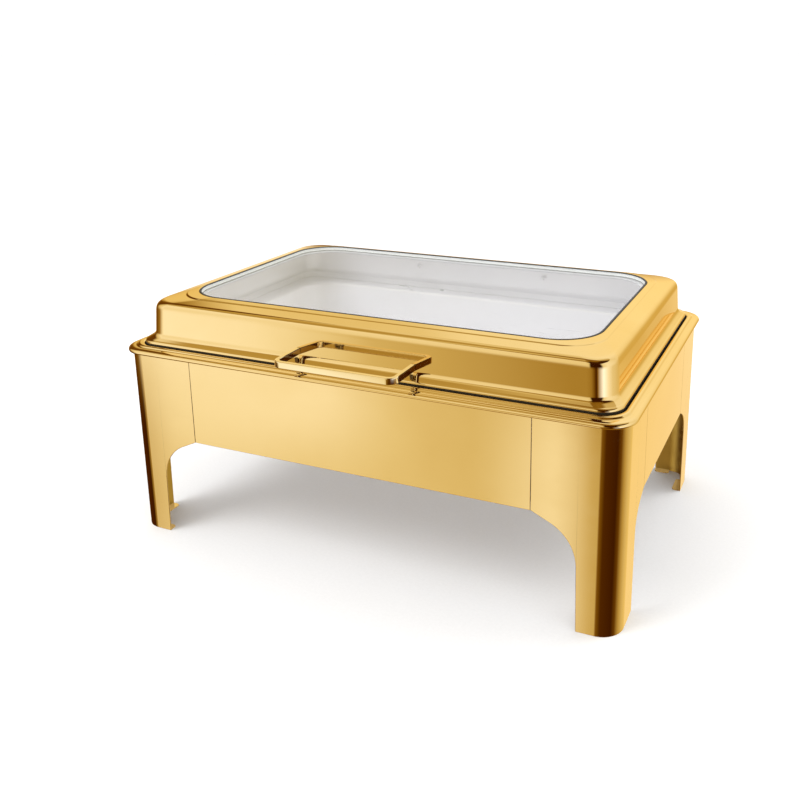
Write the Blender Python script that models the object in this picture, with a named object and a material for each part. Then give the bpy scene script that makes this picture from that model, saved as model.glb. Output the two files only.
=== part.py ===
"""Rectangular flip-lid chafer: a sheet-metal stand, two nested pans and a glazed lid on a rear hinge.

Frame: +X runs along the front, -Y is the front, +Z is up. The origin is on the table, at the middle
of the footprint. Lengths are in metres. Every sheet loop is a rounded rectangle that is stated by
its inset from the outer face of the stand (negative inset is inwards), its height and its radius.
"""

import math

import bmesh
import bpy
from mathutils import Vector

# ---- driving dimensions -------------------------------------------------------------------------
MM = 0.001
GAP = 0.0003
HALF_X = 0.300
HALF_Y = 0.1990
CORNER_R = 0.025
SHEET = 0.0012
PAN_SHEET = 0.0008
CORNER_STEPS = 5

# Stand: L-shaped legs at the corners and aprons between them
APRON_BOTTOM = 0.1252
STAND_TOP = 0.2268
SEAM_X = 0.2065
SEAM_Y = 0.1060
LEG_INNER_X = 0.2560
LEG_INNER_Y = 0.1425
ARCH_SLOPE = math.radians(25)
ARCH_STRAIGHT = 0.40
ARCH_TAPER = 0.0015
ARCH_STEPS = 6
FOOT_WIDTH = 0.0115
FOOT_ROUND = 0.0045
FOOT_SCOOP = 0.7
STRAP_WIDTH = 0.024
STRAP_LOW = 0.134
STRAP_HIGH = 0.204
FRAME_TOP = 0.2275
FRAME_LOW = 0.2095
FRAME_LEDGE_INSET = -0.020
FRAME_LEDGE_R = 0.012

# Water pan: its bead rim, gutter, ledge and basin as (inset, height, corner radius) in millimetres
WATER_PAN_PATH = [
    (1.0, 226.2, 26.0), (4.3, 225.9, 29.3), (5.4, 226.8, 30.4), (5.6, 228.2, 30.6),
    (5.1, 229.8, 30.1), (3.6, 231.1, 28.6), (1.0, 231.9, 27.4), (-2.3, 232.3, 26.6),
    (-3.2, 233.0, 26.4), (-4.2, 234.1, 26.1), (-6.0, 234.6, 25.7), (-8.1, 234.3, 25.2),
    (-9.2, 233.4, 25.0), (-9.6, 231.8, 25.0), (-9.6, 229.2, 25.0), (-10.1, 228.6, 24.5),
    (-39.6, 228.6, 44.6), (-41.4, 227.6, 44.6), (-42.2, 225.4, 45.0), (-46.0, 148.0, 46.0),
    (-48.2, 142.6, 44.0), (-53.6, 140.4, 40.0),
]

# Gastronorm 1/1 food pan, 65 mm deep: (inset, height above its rim, corner radius) in millimetres
FOOD_HALF_X = 0.265
FOOD_HALF_Y = 0.1625
FOOD_RIM_LOW = 0.2289
FOOD_PAN_PATH = [
    (0, 0, 36), (0, 3.2, 36), (-1.0, 4.2, 35), (-10.4, 4.2, 38), (-12.6, 3.0, 40),
    (-13.5, 0.6, 41), (-18.6, -51.0, 48), (-21.6, -58.0, 48), (-28.6, -60.8, 44),
]

# Lid profile as (inset, height) in millimetres, and its window
LID_FLANGE = [
    (-10.6, 228.9), (-10.6, 236.4), (-10.9, 237.5), (-11.8, 238.4), (-12.9, 239.0), (-16.4, 241.9),
    (-17.6, 243.2), (-18.4, 244.8), (-18.9, 246.4),
]
LID_WALL = [(-20.6, 274.2), (-21.2, 277.4), (-22.5, 280.2), (-24.6, 282.2), (-27.2, 283.4)]
LID_RING = [
    (-41.0, 286.6), (-41.9, 287.5), (-48.4, 289.0), (-49.1, 288.9), (-49.4, 288.3), (-49.4, 283.2),
]
LID_STEP_INSET = -14.5
LID_FLANGE_R = 0.0240
LID_WALL_R = 0.0255
SHOULDER_INSET = -0.0246
WINDOW_INSET = -0.0494
WINDOW_R = 0.0503
GLASS_INSET = -0.0515
GLASS_LOW = 0.2842
GLASS_HIGH = 0.2882
GLASS_BEVEL = 0.0006
GASKET_LIP = 0.0011
GASKET_FOOT = 0.0020
RETAINER_PATH = [(-33.0, 283.4), (-40.4, 284.9), (-46.6, 282.8), (-54.0, 282.8)]
RETAINER_SHEET = 0.0010

# Handle: a flat bar on edge, bent to a U, standing out level from the lid's front wall
HANDLE_Z = 0.2505
HANDLE_ARM_X = 0.070
HANDLE_WALL_Y = -(HALF_Y - 0.0188)
HANDLE_FRONT_Y = -(HALF_Y + 0.02625)
HANDLE_BEND_R = 0.008
HANDLE_WIDE = 0.0055
HANDLE_HIGH = 0.0075
HANDLE_BEVEL = 0.0008
HANDLE_BORE_R = 0.0017
HANDLE_BORE_DEPTH = 0.012
HANDLE_SCREW_HEAD_Y = -(HALF_Y - 0.0205)
HANDLE_SCREW_R = 0.0014
HANDLE_SCREW_REACH = 0.0100
FLANGE_SCREW_Y = -(HALF_Y - 0.0144)
FLANGE_SCREW_TOP = 0.2424
FLANGE_SCREW_R = 0.0016
FLANGE_SCREW_LONG = 0.0054

# Hinge at the rear, its axis along X
HINGE_Y = HALF_Y + 0.0215
HINGE_Z = 0.2430
SHAFT_R = 0.0030
BARREL_R = 0.0075
BARREL_BORE_R = 0.0061
BARREL_HALF = 0.050
BARREL_SIDES = 24
BUSH_LONG = 0.008
BUSH_COLLAR = 0.0012
BASE_THICK = 0.0020
BASE_LOW = 0.158
BASE_SHELF = 0.2205
BASE_BACK_Y = HALF_Y + 0.0152
ARM_IN = 0.084
ARM_OUT = 0.104
ARM_SCREW_X = 0.094
ARM_THICK = 0.0020
ARM_KNUCKLE_R = 0.0066
ARM_SCREW_Z = 0.264
ARM_SCREW_FACE = HALF_Y - 0.0168
ARM_NUT_FACE = HALF_Y - 0.0213
BASE_SCREW_X = 0.036
BASE_SCREW_Z = (0.168, 0.196)

# Screws and cap nuts of the hinge
SCREW_R = 0.0019
SCREW_HEAD_R = 0.0038
SCREW_HEAD_HIGH = 0.0022
ARM_SCREW_LONG = 0.0075
BASE_SCREW_LONG = 0.0073
SCREW_HOLE_R = 0.0022
NUT_HOLE_DEPTH = 0.0036
SCREW_SIDES = 12
ROUND_SIDES = 20

# Everything that opens with the lid, by the start of its name
LID_PIECES = ("lid_", "window_", "handle_screw", "flange_screw", "hinge_shaft", "hinge_arm", "arm_")

GOLD = ((0.86, 0.62, 0.26), 0.16, 1.0)
STEEL = ((0.72, 0.72, 0.74), 0.28, 1.0)
GLASS = ((0.86, 0.90, 0.92), 0.03, 0.0)
RUBBER = ((0.03, 0.03, 0.03), 0.60, 0.0)
NYLON = ((0.12, 0.12, 0.12), 0.45, 0.0)


# ---- helpers ------------------------------------------------------------------------------------
def clear_scene():
    for old in list(bpy.data.objects):
        bpy.data.objects.remove(old, do_unlink=True)


def add_material(obj, name, look):
    colour, roughness, metallic = look
    material = bpy.data.materials.new(name)
    material.use_nodes = True
    shader = material.node_tree.nodes["Principled BSDF"]
    shader.inputs["Base Color"].default_value = (*colour, 1.0)
    shader.inputs["Roughness"].default_value = roughness
    shader.inputs["Metallic"].default_value = metallic
    obj.data.materials.append(material)


def make_object(name, bm, look=None, smooth_angle=35):
    """Turns a bmesh into a named object; with no look it is a cutter or a joining tool."""
    bmesh.ops.recalc_face_normals(bm, faces=bm.faces)
    mesh = bpy.data.meshes.new(name)
    bm.to_mesh(mesh)
    bm.free()
    mesh.shade_smooth()
    mesh.set_sharp_from_angle(angle=math.radians(smooth_angle))
    obj = bpy.data.objects.new(name, mesh)
    bpy.context.scene.collection.objects.link(obj)
    if look is None:
        obj.hide_render = True
        obj.display_type = "WIRE"
    else:
        add_material(obj, name + "_finish", look)
    return obj


def boolean(obj, tool, operation):
    modifier = obj.modifiers.new(operation.lower(), "BOOLEAN")
    modifier.operation = operation
    modifier.solver = "EXACT"
    modifier.object = tool


def loop_points(half_x, half_y, radius, z):
    """One rounded rectangle, counter-clockwise from above, the same count of points at any size."""
    points = []
    for sign_x, sign_y, start in ((1, -1, -90), (1, 1, 0), (-1, 1, 90), (-1, -1, 180)):
        centre_x = sign_x * (half_x - radius)
        centre_y = sign_y * (half_y - radius)
        for step in range(CORNER_STEPS + 1):
            angle = math.radians(start + 90 * step / CORNER_STEPS)
            x = centre_x + radius * math.cos(angle)
            y = centre_y + radius * math.sin(angle)
            points.append((x, y, z))
    return points


def loft(name, profile, look, half=(HALF_X, HALF_Y), floor=False):
    """Joins rounded rectangles along a profile of (inset, z, radius).

    A profile without a floor closes on itself, like a picture frame. With a floor the first and
    the last loop are filled, like the inside and the underside of a pan.
    """
    bm = bmesh.new()
    loops = []
    for inset, z, radius in profile:
        points = loop_points(half[0] + inset, half[1] + inset, radius, z)
        loops.append([bm.verts.new(p) for p in points])
    pairs = list(zip(loops, loops[1:]))
    if floor:
        bm.faces.new(loops[0])
        bm.faces.new(loops[-1])
    else:
        pairs.append((loops[-1], loops[0]))
    count = len(loops[0])
    for low, high in pairs:
        for i in range(count):
            j = (i + 1) % count
            bm.faces.new((low[i], low[j], high[j], high[i]))
    return make_object(name, bm, look)


def thicken(path, thickness):
    """The same path moved to its left by the sheet's thickness, its radii moved with it."""
    moved = []
    for i, (inset, z, radius) in enumerate(path):
        before = path[max(i - 1, 0)]
        after = path[min(i + 1, len(path) - 1)]
        normals = []
        for start, end in ((before, path[i]), (path[i], after)):
            step = Vector((end[0] - start[0], end[1] - start[1]))
            if step.length > 0:
                normals.append(Vector((-step.y, step.x)).normalized())
        normal = sum(normals, Vector((0, 0))).normalized()
        reach = thickness / max(normal.dot(normals[0]), 0.6)
        shift = normal * reach
        moved.append((inset + shift.x, z + shift.y, radius + shift.x))
    return moved


def sheet_loft(name, path, thickness, look, half=(HALF_X, HALF_Y), floor=False):
    """A sheet pressed to a path that runs from its outer edge up and inwards."""
    back = thicken(path, thickness)
    if floor:
        return loft(name, path[::-1] + back, look, half, floor=True)
    return loft(name, path + back[::-1], look, half)


def prism(bm, outline, axis, low, high):
    """Extrudes an outline between two planes square to an axis: outline holds the other two."""
    rings = []
    for level in (low, high):
        ring = []
        for a, b in outline:
            place = {"X": (level, a, b), "Y": (a, level, b), "Z": (a, b, level)}[axis]
            ring.append(bm.verts.new(place))
        rings.append(ring)
    bm.faces.new(rings[0])
    bm.faces.new(rings[1])
    count = len(outline)
    for i in range(count):
        j = (i + 1) % count
        bm.faces.new((rings[0][i], rings[0][j], rings[1][j], rings[1][i]))


def arc(centre_a, centre_b, radius, start, end, steps):
    """Points of a circular arc, from start to end in degrees."""
    points = []
    for step in range(steps + 1):
        angle = math.radians(start + (end - start) * step / steps)
        a = centre_a + radius * math.cos(angle)
        b = centre_b + radius * math.sin(angle)
        points.append((a, b))
    return points


def circle(centre_a, centre_b, radius, sides=SCREW_SIDES):
    return arc(centre_a, centre_b, radius, 0, 360 - 360 / sides, sides - 1)


def turned(name, profile, axis, centre, look, sides=SCREW_SIDES):
    """A body of revolution: profile holds (distance along the axis, radius), start to end.

    A profile whose ends have no radius is solid. Any other profile closes on itself, like a bush.
    """
    bm = bmesh.new()
    rings = []
    for along, radius in profile:
        place = {"X": lambda a, b: (along, a, b), "Y": lambda a, b: (a, along, b),
                 "Z": lambda a, b: (a, b, along)}[axis]
        if radius == 0:
            rings.append([bm.verts.new(place(centre[0], centre[1]))])
            continue
        rings.append([bm.verts.new(place(a, b)) for a, b in circle(*centre, radius, sides)])
    pairs = list(zip(rings, rings[1:]))
    if profile[0][1] != 0:
        pairs.append((rings[-1], rings[0]))
    for low, high in pairs:
        for i in range(sides):
            j = (i + 1) % sides
            corners = [low[i % len(low)], low[j % len(low)], high[j % len(high)], high[i % len(high)]]
            bm.faces.new(list(dict.fromkeys(corners)))
    return make_object(name, bm, look)


def side_name(sign_x, sign_y):
    return ("front_" if sign_y < 0 else "rear_") + ("left" if sign_x < 0 else "right")


# ---- stand --------------------------------------------------------------------------------------
def arch_edge(run):
    """Lower edge of one leg wing from its seam to its inner edge: (distance from seam, height).

    It leaves the apron as a straight slope, turns down through an arc, and ends as the almost
    upright edge of the leg.
    """
    straight = ARCH_STRAIGHT * run
    radius = (run - ARCH_TAPER - straight) / (1 - math.sin(ARCH_SLOPE))
    bend_z = APRON_BOTTOM - straight * math.tan(ARCH_SLOPE)
    points = [(0, APRON_BOTTOM)]
    for step in range(ARCH_STEPS + 1):
        turn = ARCH_SLOPE + (math.pi / 2 - ARCH_SLOPE) * step / ARCH_STEPS
        along = straight + radius * (math.sin(turn) - math.sin(ARCH_SLOPE))
        height = bend_z - radius * (math.cos(ARCH_SLOPE) - math.cos(turn))
        points.append((along, height))
    points.append((run, 0))
    return points


def leg_stations():
    """Outer-face points of a leg from the front seam round the corner: (point, normal, height)."""
    stations = []
    for along, height in arch_edge(LEG_INNER_X - SEAM_X):
        stations.append(((SEAM_X + along, HALF_Y), (0, 1), height))
    for step in range(CORNER_STEPS + 1):
        angle = math.radians(90 - 90 * step / CORNER_STEPS)
        normal = (math.cos(angle), math.sin(angle))
        x = HALF_X - CORNER_R + CORNER_R * normal[0]
        y = HALF_Y - CORNER_R + CORNER_R * normal[1]
        stations.append(((x, y), normal, 0))
    for along, height in reversed(arch_edge(LEG_INNER_Y - SEAM_Y)):
        stations.append(((HALF_X, SEAM_Y + along), (1, 0), height))
    return stations


def foot_outline(free_end, corner_start, face):
    """Plan of one foot flange: square to the wall, round at its free end, scooped at the corner."""
    inner = face - FOOT_WIDTH
    free = arc(free_end + FOOT_ROUND, inner + FOOT_ROUND, FOOT_ROUND, 180, 270, 4)
    scoop = FOOT_SCOOP * FOOT_WIDTH
    blend = arc(corner_start - scoop + FOOT_ROUND, inner + FOOT_ROUND, FOOT_ROUND, 270, 340, 3)
    back = face - SHEET / 2
    return [(free_end, back)] + free + blend + [(corner_start, back)]


def make_leg(sign_x, sign_y):
    name = "leg_" + side_name(sign_x, sign_y)
    bm = bmesh.new()
    columns = []
    for (x, y), (nx, ny), low in leg_stations():
        column = []
        for depth, z in ((0, low), (0, STAND_TOP), (SHEET, STAND_TOP), (SHEET, low)):
            place = (sign_x * (x - nx * depth), sign_y * (y - ny * depth), z)
            column.append(bm.verts.new(place))
        columns.append(column)
    bm.faces.new(columns[0])
    bm.faces.new(columns[-1])
    for left, right in zip(columns, columns[1:]):
        for i in range(4):
            j = (i + 1) % 4
            bm.faces.new((left[i], left[j], right[j], right[i]))
    leg = make_object(name, bm, GOLD)
    feet = bmesh.new()
    front = foot_outline(LEG_INNER_X + 2 * GAP, HALF_X - CORNER_R, HALF_Y)
    prism(feet, [(sign_x * x, sign_y * y) for x, y in front], "Z", 0, SHEET)
    side = foot_outline(LEG_INNER_Y + 2 * GAP, HALF_Y - CORNER_R, HALF_X)
    prism(feet, [(sign_x * x, sign_y * y) for y, x in side], "Z", 0, SHEET)
    boolean(leg, make_object(name + "_foot_tool", feet), "UNION")


def apron_prism(bm, axis, sign, face, seam):
    reach = seam - GAP
    outline = [(-reach, APRON_BOTTOM), (reach, APRON_BOTTOM), (reach, STAND_TOP), (-reach, STAND_TOP)]
    prism(bm, outline, axis, *sorted((sign * face, sign * (face - SHEET))))


def make_aprons():
    """Four flat panels between the legs. The rear one has holes for the hinge screws."""
    for name, sign, axis, face, seam in (
        ("apron_front", -1, "Y", HALF_Y, SEAM_X),
        ("apron_rear", 1, "Y", HALF_Y, SEAM_X),
        ("apron_left", -1, "X", HALF_X, SEAM_Y),
        ("apron_right", 1, "X", HALF_X, SEAM_Y),
    ):
        bm = bmesh.new()
        apron_prism(bm, axis, sign, face, seam)
        apron = make_object(name, bm, GOLD)
        if name == "apron_rear":
            boolean(apron, screw_holes("apron_hole_tool", HALF_Y), "DIFFERENCE")


def make_straps():
    """A backing strap behind each seam, bridging a leg and its apron."""
    near = SHEET + GAP
    far = 2 * SHEET + GAP
    for sign_x in (-1, 1):
        for sign_y in (-1, 1):
            corner = side_name(sign_x, sign_y)
            centre = sign_x * SEAM_X
            outline = strap_outline(centre)
            bm = bmesh.new()
            prism(bm, outline, "Y", *sorted((sign_y * (HALF_Y - near), sign_y * (HALF_Y - far))))
            make_object("strap_long_" + corner, bm, STEEL)
            outline = strap_outline(sign_y * SEAM_Y)
            bm = bmesh.new()
            prism(bm, outline, "X", *sorted((sign_x * (HALF_X - near), sign_x * (HALF_X - far))))
            make_object("strap_short_" + corner, bm, STEEL)


def strap_outline(centre):
    low = centre - STRAP_WIDTH / 2
    high = centre + STRAP_WIDTH / 2
    return [(low, STRAP_LOW), (high, STRAP_LOW), (high, STRAP_HIGH), (low, STRAP_HIGH)]


def make_top_frame():
    """Angle-section frame inside the top of the stand; the water pan's rim rests on it."""
    outer = -(SHEET + GAP)
    inner = outer - SHEET
    profile = [
        (outer, FRAME_LOW, CORNER_R + outer),
        (outer, FRAME_TOP, CORNER_R + outer),
        (FRAME_LEDGE_INSET, FRAME_TOP, FRAME_LEDGE_R),
        (FRAME_LEDGE_INSET, FRAME_TOP - SHEET, FRAME_LEDGE_R),
        (inner, FRAME_TOP - SHEET, CORNER_R + inner),
        (inner, FRAME_LOW, CORNER_R + inner),
    ]
    loft("stand_top_frame", profile, STEEL)


# ---- pans ---------------------------------------------------------------------------------------
def make_water_pan():
    """Deep pan whose rim is a two-step bead round a gutter that the lid's flange sits in."""
    path = [(inset * MM, z * MM, radius * MM) for inset, z, radius in WATER_PAN_PATH]
    sheet_loft("water_pan", path, PAN_SHEET, GOLD, floor=True)


def make_food_pan():
    """Gastronorm pan that hangs by its rim on the edge of the water pan."""
    path = [(inset * MM, FOOD_RIM_LOW + up * MM, radius * MM) for inset, up, radius in FOOD_PAN_PATH]
    sheet_loft("food_pan", path, PAN_SHEET, STEEL, half=(FOOD_HALF_X, FOOD_HALF_Y), floor=True)


# ---- lid ----------------------------------------------------------------------------------------
def ring_radius(inset):
    """Corner radius of the lid's sloping top ring, growing from the shoulder to the window."""
    share = (inset - SHOULDER_INSET) / (WINDOW_INSET - SHOULDER_INSET)
    return LID_WALL_R + (WINDOW_R - LID_WALL_R) * max(share, 0)


def make_lid_shell():
    """Pressed lid: stepped flange, drafted wall, round shoulder and a sloping ring to the window."""
    path = []
    for inset, z in LID_FLANGE:
        radius = LID_FLANGE_R if inset > LID_STEP_INSET else LID_WALL_R
        path.append((inset * MM, z * MM, radius))
    for inset, z in LID_WALL + LID_RING:
        path.append((inset * MM, z * MM, ring_radius(inset * MM)))
    shell = sheet_loft("lid_shell", path, PAN_SHEET, GOLD)
    boolean(shell, make_object("lid_hole_tool", lid_holes()), "DIFFERENCE")


def lid_holes():
    """Cutter for the screws of the hinge arms, the handle and the flange."""
    holes = bmesh.new()
    near = 0.011
    far = 0.028
    for sign in (-1, 1):
        outline = circle(sign * ARM_SCREW_X, ARM_SCREW_Z, SCREW_HOLE_R)
        prism(holes, outline, "Y", HALF_Y - far, HALF_Y - near)
        outline = circle(sign * HANDLE_ARM_X, HANDLE_Z, HANDLE_SCREW_R + GAP)
        prism(holes, outline, "Y", near - HALF_Y, far - HALF_Y)
        outline = circle(sign * HANDLE_ARM_X, FLANGE_SCREW_Y, FLANGE_SCREW_R + GAP)
        prism(holes, outline, "Z", FLANGE_SCREW_TOP - 0.009, FLANGE_SCREW_TOP + 0.007)
    return holes


def make_window():
    """Tempered glass pane, the rubber channel round its edge and the steel ring that holds both."""
    pane_r = WINDOW_R + GLASS_INSET - WINDOW_INSET
    pane = [
        (GLASS_INSET - GLASS_BEVEL, GLASS_LOW, pane_r - GLASS_BEVEL),
        (GLASS_INSET, GLASS_LOW + GLASS_BEVEL, pane_r),
        (GLASS_INSET, GLASS_HIGH - GLASS_BEVEL, pane_r),
        (GLASS_INSET - GLASS_BEVEL, GLASS_HIGH, pane_r - GLASS_BEVEL),
    ]
    loft("window_glass", pane, GLASS, floor=True)
    seal = [(inset, z, WINDOW_R + inset - WINDOW_INSET) for inset, z in gasket_section()]
    loft("window_gasket", seal, RUBBER)
    path = [(inset * MM, z * MM, ring_radius(inset * MM)) for inset, z in RETAINER_PATH]
    sheet_loft("window_retainer", path, RETAINER_SHEET, STEEL)


def gasket_section():
    """Channel round the edge of the pane, with a longer lip below it: (inset, height)."""
    outer = WINDOW_INSET - GAP
    web = GLASS_INSET + GAP
    lip = GLASS_INSET - GASKET_LIP
    foot = GLASS_INSET - GASKET_FOOT
    base = GLASS_LOW - GASKET_LIP
    top = GLASS_HIGH + GASKET_LIP
    return [
        (outer, base), (outer, top - GAP), (outer - GLASS_BEVEL, top), (lip, top),
        (lip, GLASS_HIGH + GAP), (web, GLASS_HIGH + GAP), (web, GLASS_LOW - GAP),
        (foot, GLASS_LOW - GAP), (foot, base),
    ]


def bar_section():
    """Cross-section of the handle bar, square with bevelled edges: (across, up)."""
    wide = HANDLE_WIDE / 2
    high = HANDLE_HIGH / 2
    bevel = HANDLE_BEVEL
    corners = [(-wide, -high + bevel), (-wide, high - bevel), (-wide + bevel, high), (wide - bevel, high)]
    return corners + [(-a, -b) for a, b in corners]


def make_handle():
    """U of square bar: two arms out of the lid's front wall joined by the grip."""
    bend = HANDLE_BEND_R
    corner_x = HANDLE_ARM_X - bend
    corner_y = HANDLE_FRONT_Y + bend
    path = [((-HANDLE_ARM_X, HANDLE_WALL_Y), (-1, 0))]
    for side, start in ((-1, 180), (1, 270)):
        for x, y in arc(side * corner_x, corner_y, bend, start, start + 90, 5):
            normal = ((x - side * corner_x) / bend, (y - corner_y) / bend)
            path.append(((x, y), normal))
    path.append(((HANDLE_ARM_X, HANDLE_WALL_Y), (1, 0)))
    bm = bmesh.new()
    rings = []
    for (x, y), (nx, ny) in path:
        ring = []
        for across, up in bar_section():
            ring.append(bm.verts.new((x + nx * across, y + ny * across, HANDLE_Z + up)))
        rings.append(ring)
    bm.faces.new(rings[0])
    bm.faces.new(rings[-1])
    count = len(rings[0])
    for near, far in zip(rings, rings[1:]):
        for i in range(count):
            j = (i + 1) % count
            bm.faces.new((near[i], near[j], far[j], far[i]))
    handle = make_object("lid_handle", bm, GOLD)
    bores = bmesh.new()
    for sign in (-1, 1):
        outline = circle(sign * HANDLE_ARM_X, HANDLE_Z, HANDLE_BORE_R)
        prism(bores, outline, "Y", HANDLE_WALL_Y - HANDLE_BORE_DEPTH, HANDLE_WALL_Y + HANDLE_BEVEL)
    boolean(handle, make_object("handle_bore_tool", bores), "DIFFERENCE")


def make_handle_screws():
    """Screws from inside the lid into the ends of the handle, and the two on the lid's flange."""
    for sign, side in ((-1, "left"), (1, "right")):
        face = HANDLE_SCREW_HEAD_Y
        tip = HANDLE_WALL_Y - HANDLE_SCREW_REACH
        screw = [(face + 1.8 * MM, 0), (face + 1.8 * MM, 2.6 * MM), (face + 1.2 * MM, 3.4 * MM),
                 (face, 3.4 * MM), (face, HANDLE_SCREW_R), (tip, HANDLE_SCREW_R), (tip, 0)]
        turned("handle_screw_" + side, screw, "Y", (sign * HANDLE_ARM_X, HANDLE_Z), STEEL)
        top = FLANGE_SCREW_TOP
        end = top - FLANGE_SCREW_LONG
        knob = [(end, 0), (end, FLANGE_SCREW_R), (top, FLANGE_SCREW_R), (top, 2.1 * MM),
                (top + 1.1 * MM, 2.1 * MM), (top + 1.8 * MM, 1.4 * MM), (top + 2.0 * MM, 0)]
        turned("flange_screw_" + side, knob, "Z", (sign * HANDLE_ARM_X, FLANGE_SCREW_Y), GOLD)


# ---- hinge --------------------------------------------------------------------------------------
def screw_holes(name, face_y):
    """Cutter for the four hinge screws through whatever stands at face_y."""
    reach = 0.006
    bm = bmesh.new()
    for sign in (-1, 1):
        for z in BASE_SCREW_Z:
            outline = circle(sign * BASE_SCREW_X, z, SCREW_HOLE_R)
            prism(bm, outline, "Y", face_y - reach, face_y + reach)
    return make_object(name, bm)


def base_outline():
    """Side view of the hinge bracket: up the rear apron, back under the rim, up to the barrel."""
    plate = HALF_Y + GAP
    low = HINGE_Z - BARREL_R
    return [
        (plate, BASE_LOW),
        (plate, BASE_SHELF),
        (BASE_BACK_Y - BASE_THICK, BASE_SHELF),
        (BASE_BACK_Y - BASE_THICK, HINGE_Z - SHAFT_R),
        (BASE_BACK_Y + MM, HINGE_Z - SHAFT_R),
        (BASE_BACK_Y + MM, low + MM),
        (BASE_BACK_Y, low - MM / 2),
        (BASE_BACK_Y, BASE_SHELF - BASE_THICK),
        (plate + BASE_THICK, BASE_SHELF - BASE_THICK),
        (plate + BASE_THICK, BASE_LOW),
    ]


def make_hinge_base():
    """Bracket on the rear apron that passes behind the rim and carries the hinge barrel."""
    bm = bmesh.new()
    prism(bm, base_outline(), "X", -BARREL_HALF, BARREL_HALF)
    base = make_object("hinge_base", bm, GOLD)
    tube = bmesh.new()
    prism(tube, circle(HINGE_Y, HINGE_Z, BARREL_R, BARREL_SIDES), "X", -BARREL_HALF, BARREL_HALF)
    boolean(base, make_object("hinge_barrel_tool", tube), "UNION")
    bore = bmesh.new()
    through = BARREL_HALF + BUSH_LONG
    prism(bore, circle(HINGE_Y, HINGE_Z, BARREL_BORE_R, BARREL_SIDES), "X", -through, through)
    boolean(base, make_object("hinge_bore_tool", bore), "DIFFERENCE")
    boolean(base, screw_holes("base_hole_tool", HALF_Y + GAP), "DIFFERENCE")


def make_hinge_core():
    """Damper cartridge and bushes inside the barrel, and the shaft that turns with the lid."""
    centre = (HINGE_Y, HINGE_Z)
    outer = BARREL_BORE_R - GAP
    bore = SHAFT_R + GAP
    bush_in = BARREL_HALF - BUSH_LONG
    reach = bush_in - GAP
    cartridge = [(-reach, bore), (-reach, outer), (reach, outer), (reach, bore)]
    turned("damper_cartridge", cartridge, "X", centre, STEEL, ROUND_SIDES)
    for sign, side in ((-1, "left"), (1, "right")):
        collar = BARREL_HALF + GAP
        bush = [(bush_in, bore), (bush_in, outer), (collar, outer), (collar, BARREL_R),
                (collar + BUSH_COLLAR, BARREL_R), (collar + BUSH_COLLAR, bore)]
        turned("hinge_bush_" + side, [(sign * a, r) for a, r in bush], "X", centre, NYLON, ROUND_SIDES)
    end = ARM_OUT + 3.0 * MM
    tip = 0.6 * MM
    shaft = [(-end, 0), (-end, SHAFT_R - tip), (-end + tip, SHAFT_R), (end - tip, SHAFT_R),
             (end, SHAFT_R - tip), (end, 0)]
    turned("hinge_shaft", shaft, "X", centre, STEEL, ROUND_SIDES)


def arm_outline():
    """Side view of a hinge arm: a plate against the lid's rear wall and a lever to the knuckle."""
    knuckle = arc(HINGE_Y, HINGE_Z, ARM_KNUCKLE_R, -155, 120, 11)
    wall_low = (HALF_Y - 0.0184, 0.2464)
    wall_high = (HALF_Y - 0.0199, 0.2715)
    lever_low = [(HALF_Y - 0.0085, 0.2432), (HALF_Y + 0.0130, 0.2392)]
    lever_high = [(HALF_Y - 0.0105, 0.2500), (HALF_Y - 0.0145, 0.2512), (HALF_Y - 0.0165, 0.2540)]
    plate = [(wall_high[0] + ARM_THICK, wall_high[1]), wall_high, wall_low]
    return plate + lever_low + knuckle + lever_high


def make_hinge_arms():
    clear = 0.010
    for sign, side in ((-1, "left"), (1, "right")):
        ends = sorted((sign * ARM_IN, sign * ARM_OUT))
        bm = bmesh.new()
        prism(bm, arm_outline(), "X", *ends)
        arm = make_object("hinge_arm_" + side, bm, GOLD)
        cuts = bmesh.new()
        knuckle = circle(HINGE_Y, HINGE_Z, SHAFT_R + GAP, ROUND_SIDES)
        prism(cuts, knuckle, "X", ends[0] - clear, ends[1] + clear)
        hole = circle(sign * ARM_SCREW_X, ARM_SCREW_Z, SCREW_HOLE_R)
        prism(cuts, hole, "Y", ARM_SCREW_FACE - clear, ARM_SCREW_FACE + clear / 2)
        boolean(arm, make_object("arm_cut_tool_" + side, cuts), "DIFFERENCE")


def make_fixings():
    """Screws and cap nuts of the hinge arms, and those of the hinge base."""
    for sign, side in ((-1, "left"), (1, "right")):
        x = sign * ARM_SCREW_X
        add_screw("arm_screw_" + side, x, ARM_SCREW_Z, ARM_SCREW_FACE, ARM_SCREW_LONG)
        add_nut("arm_nut_" + side, x, ARM_SCREW_Z, ARM_NUT_FACE)
        x = sign * BASE_SCREW_X
        head_face = HALF_Y + BASE_THICK + 2 * GAP
        for z, level in zip(BASE_SCREW_Z, ("lower", "upper")):
            label = level + "_" + side
            add_screw("base_screw_" + label, x, z, head_face, BASE_SCREW_LONG)
            add_nut("base_nut_" + label, x, z, HALF_Y - SHEET - GAP)


def add_screw(name, x, z, face, long):
    """Button-head screw whose head is behind the plane y = face and whose shank is long."""
    tip = face - long
    top = face + SCREW_HEAD_HIGH
    screw = [(top, 0), (top, 2.2 * MM), (face + 1.2 * MM, SCREW_HEAD_R), (face, SCREW_HEAD_R),
             (face, SCREW_R), (tip, SCREW_R), (tip, 0)]
    turned(name, screw, "Y", (x, z), STEEL)


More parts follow.
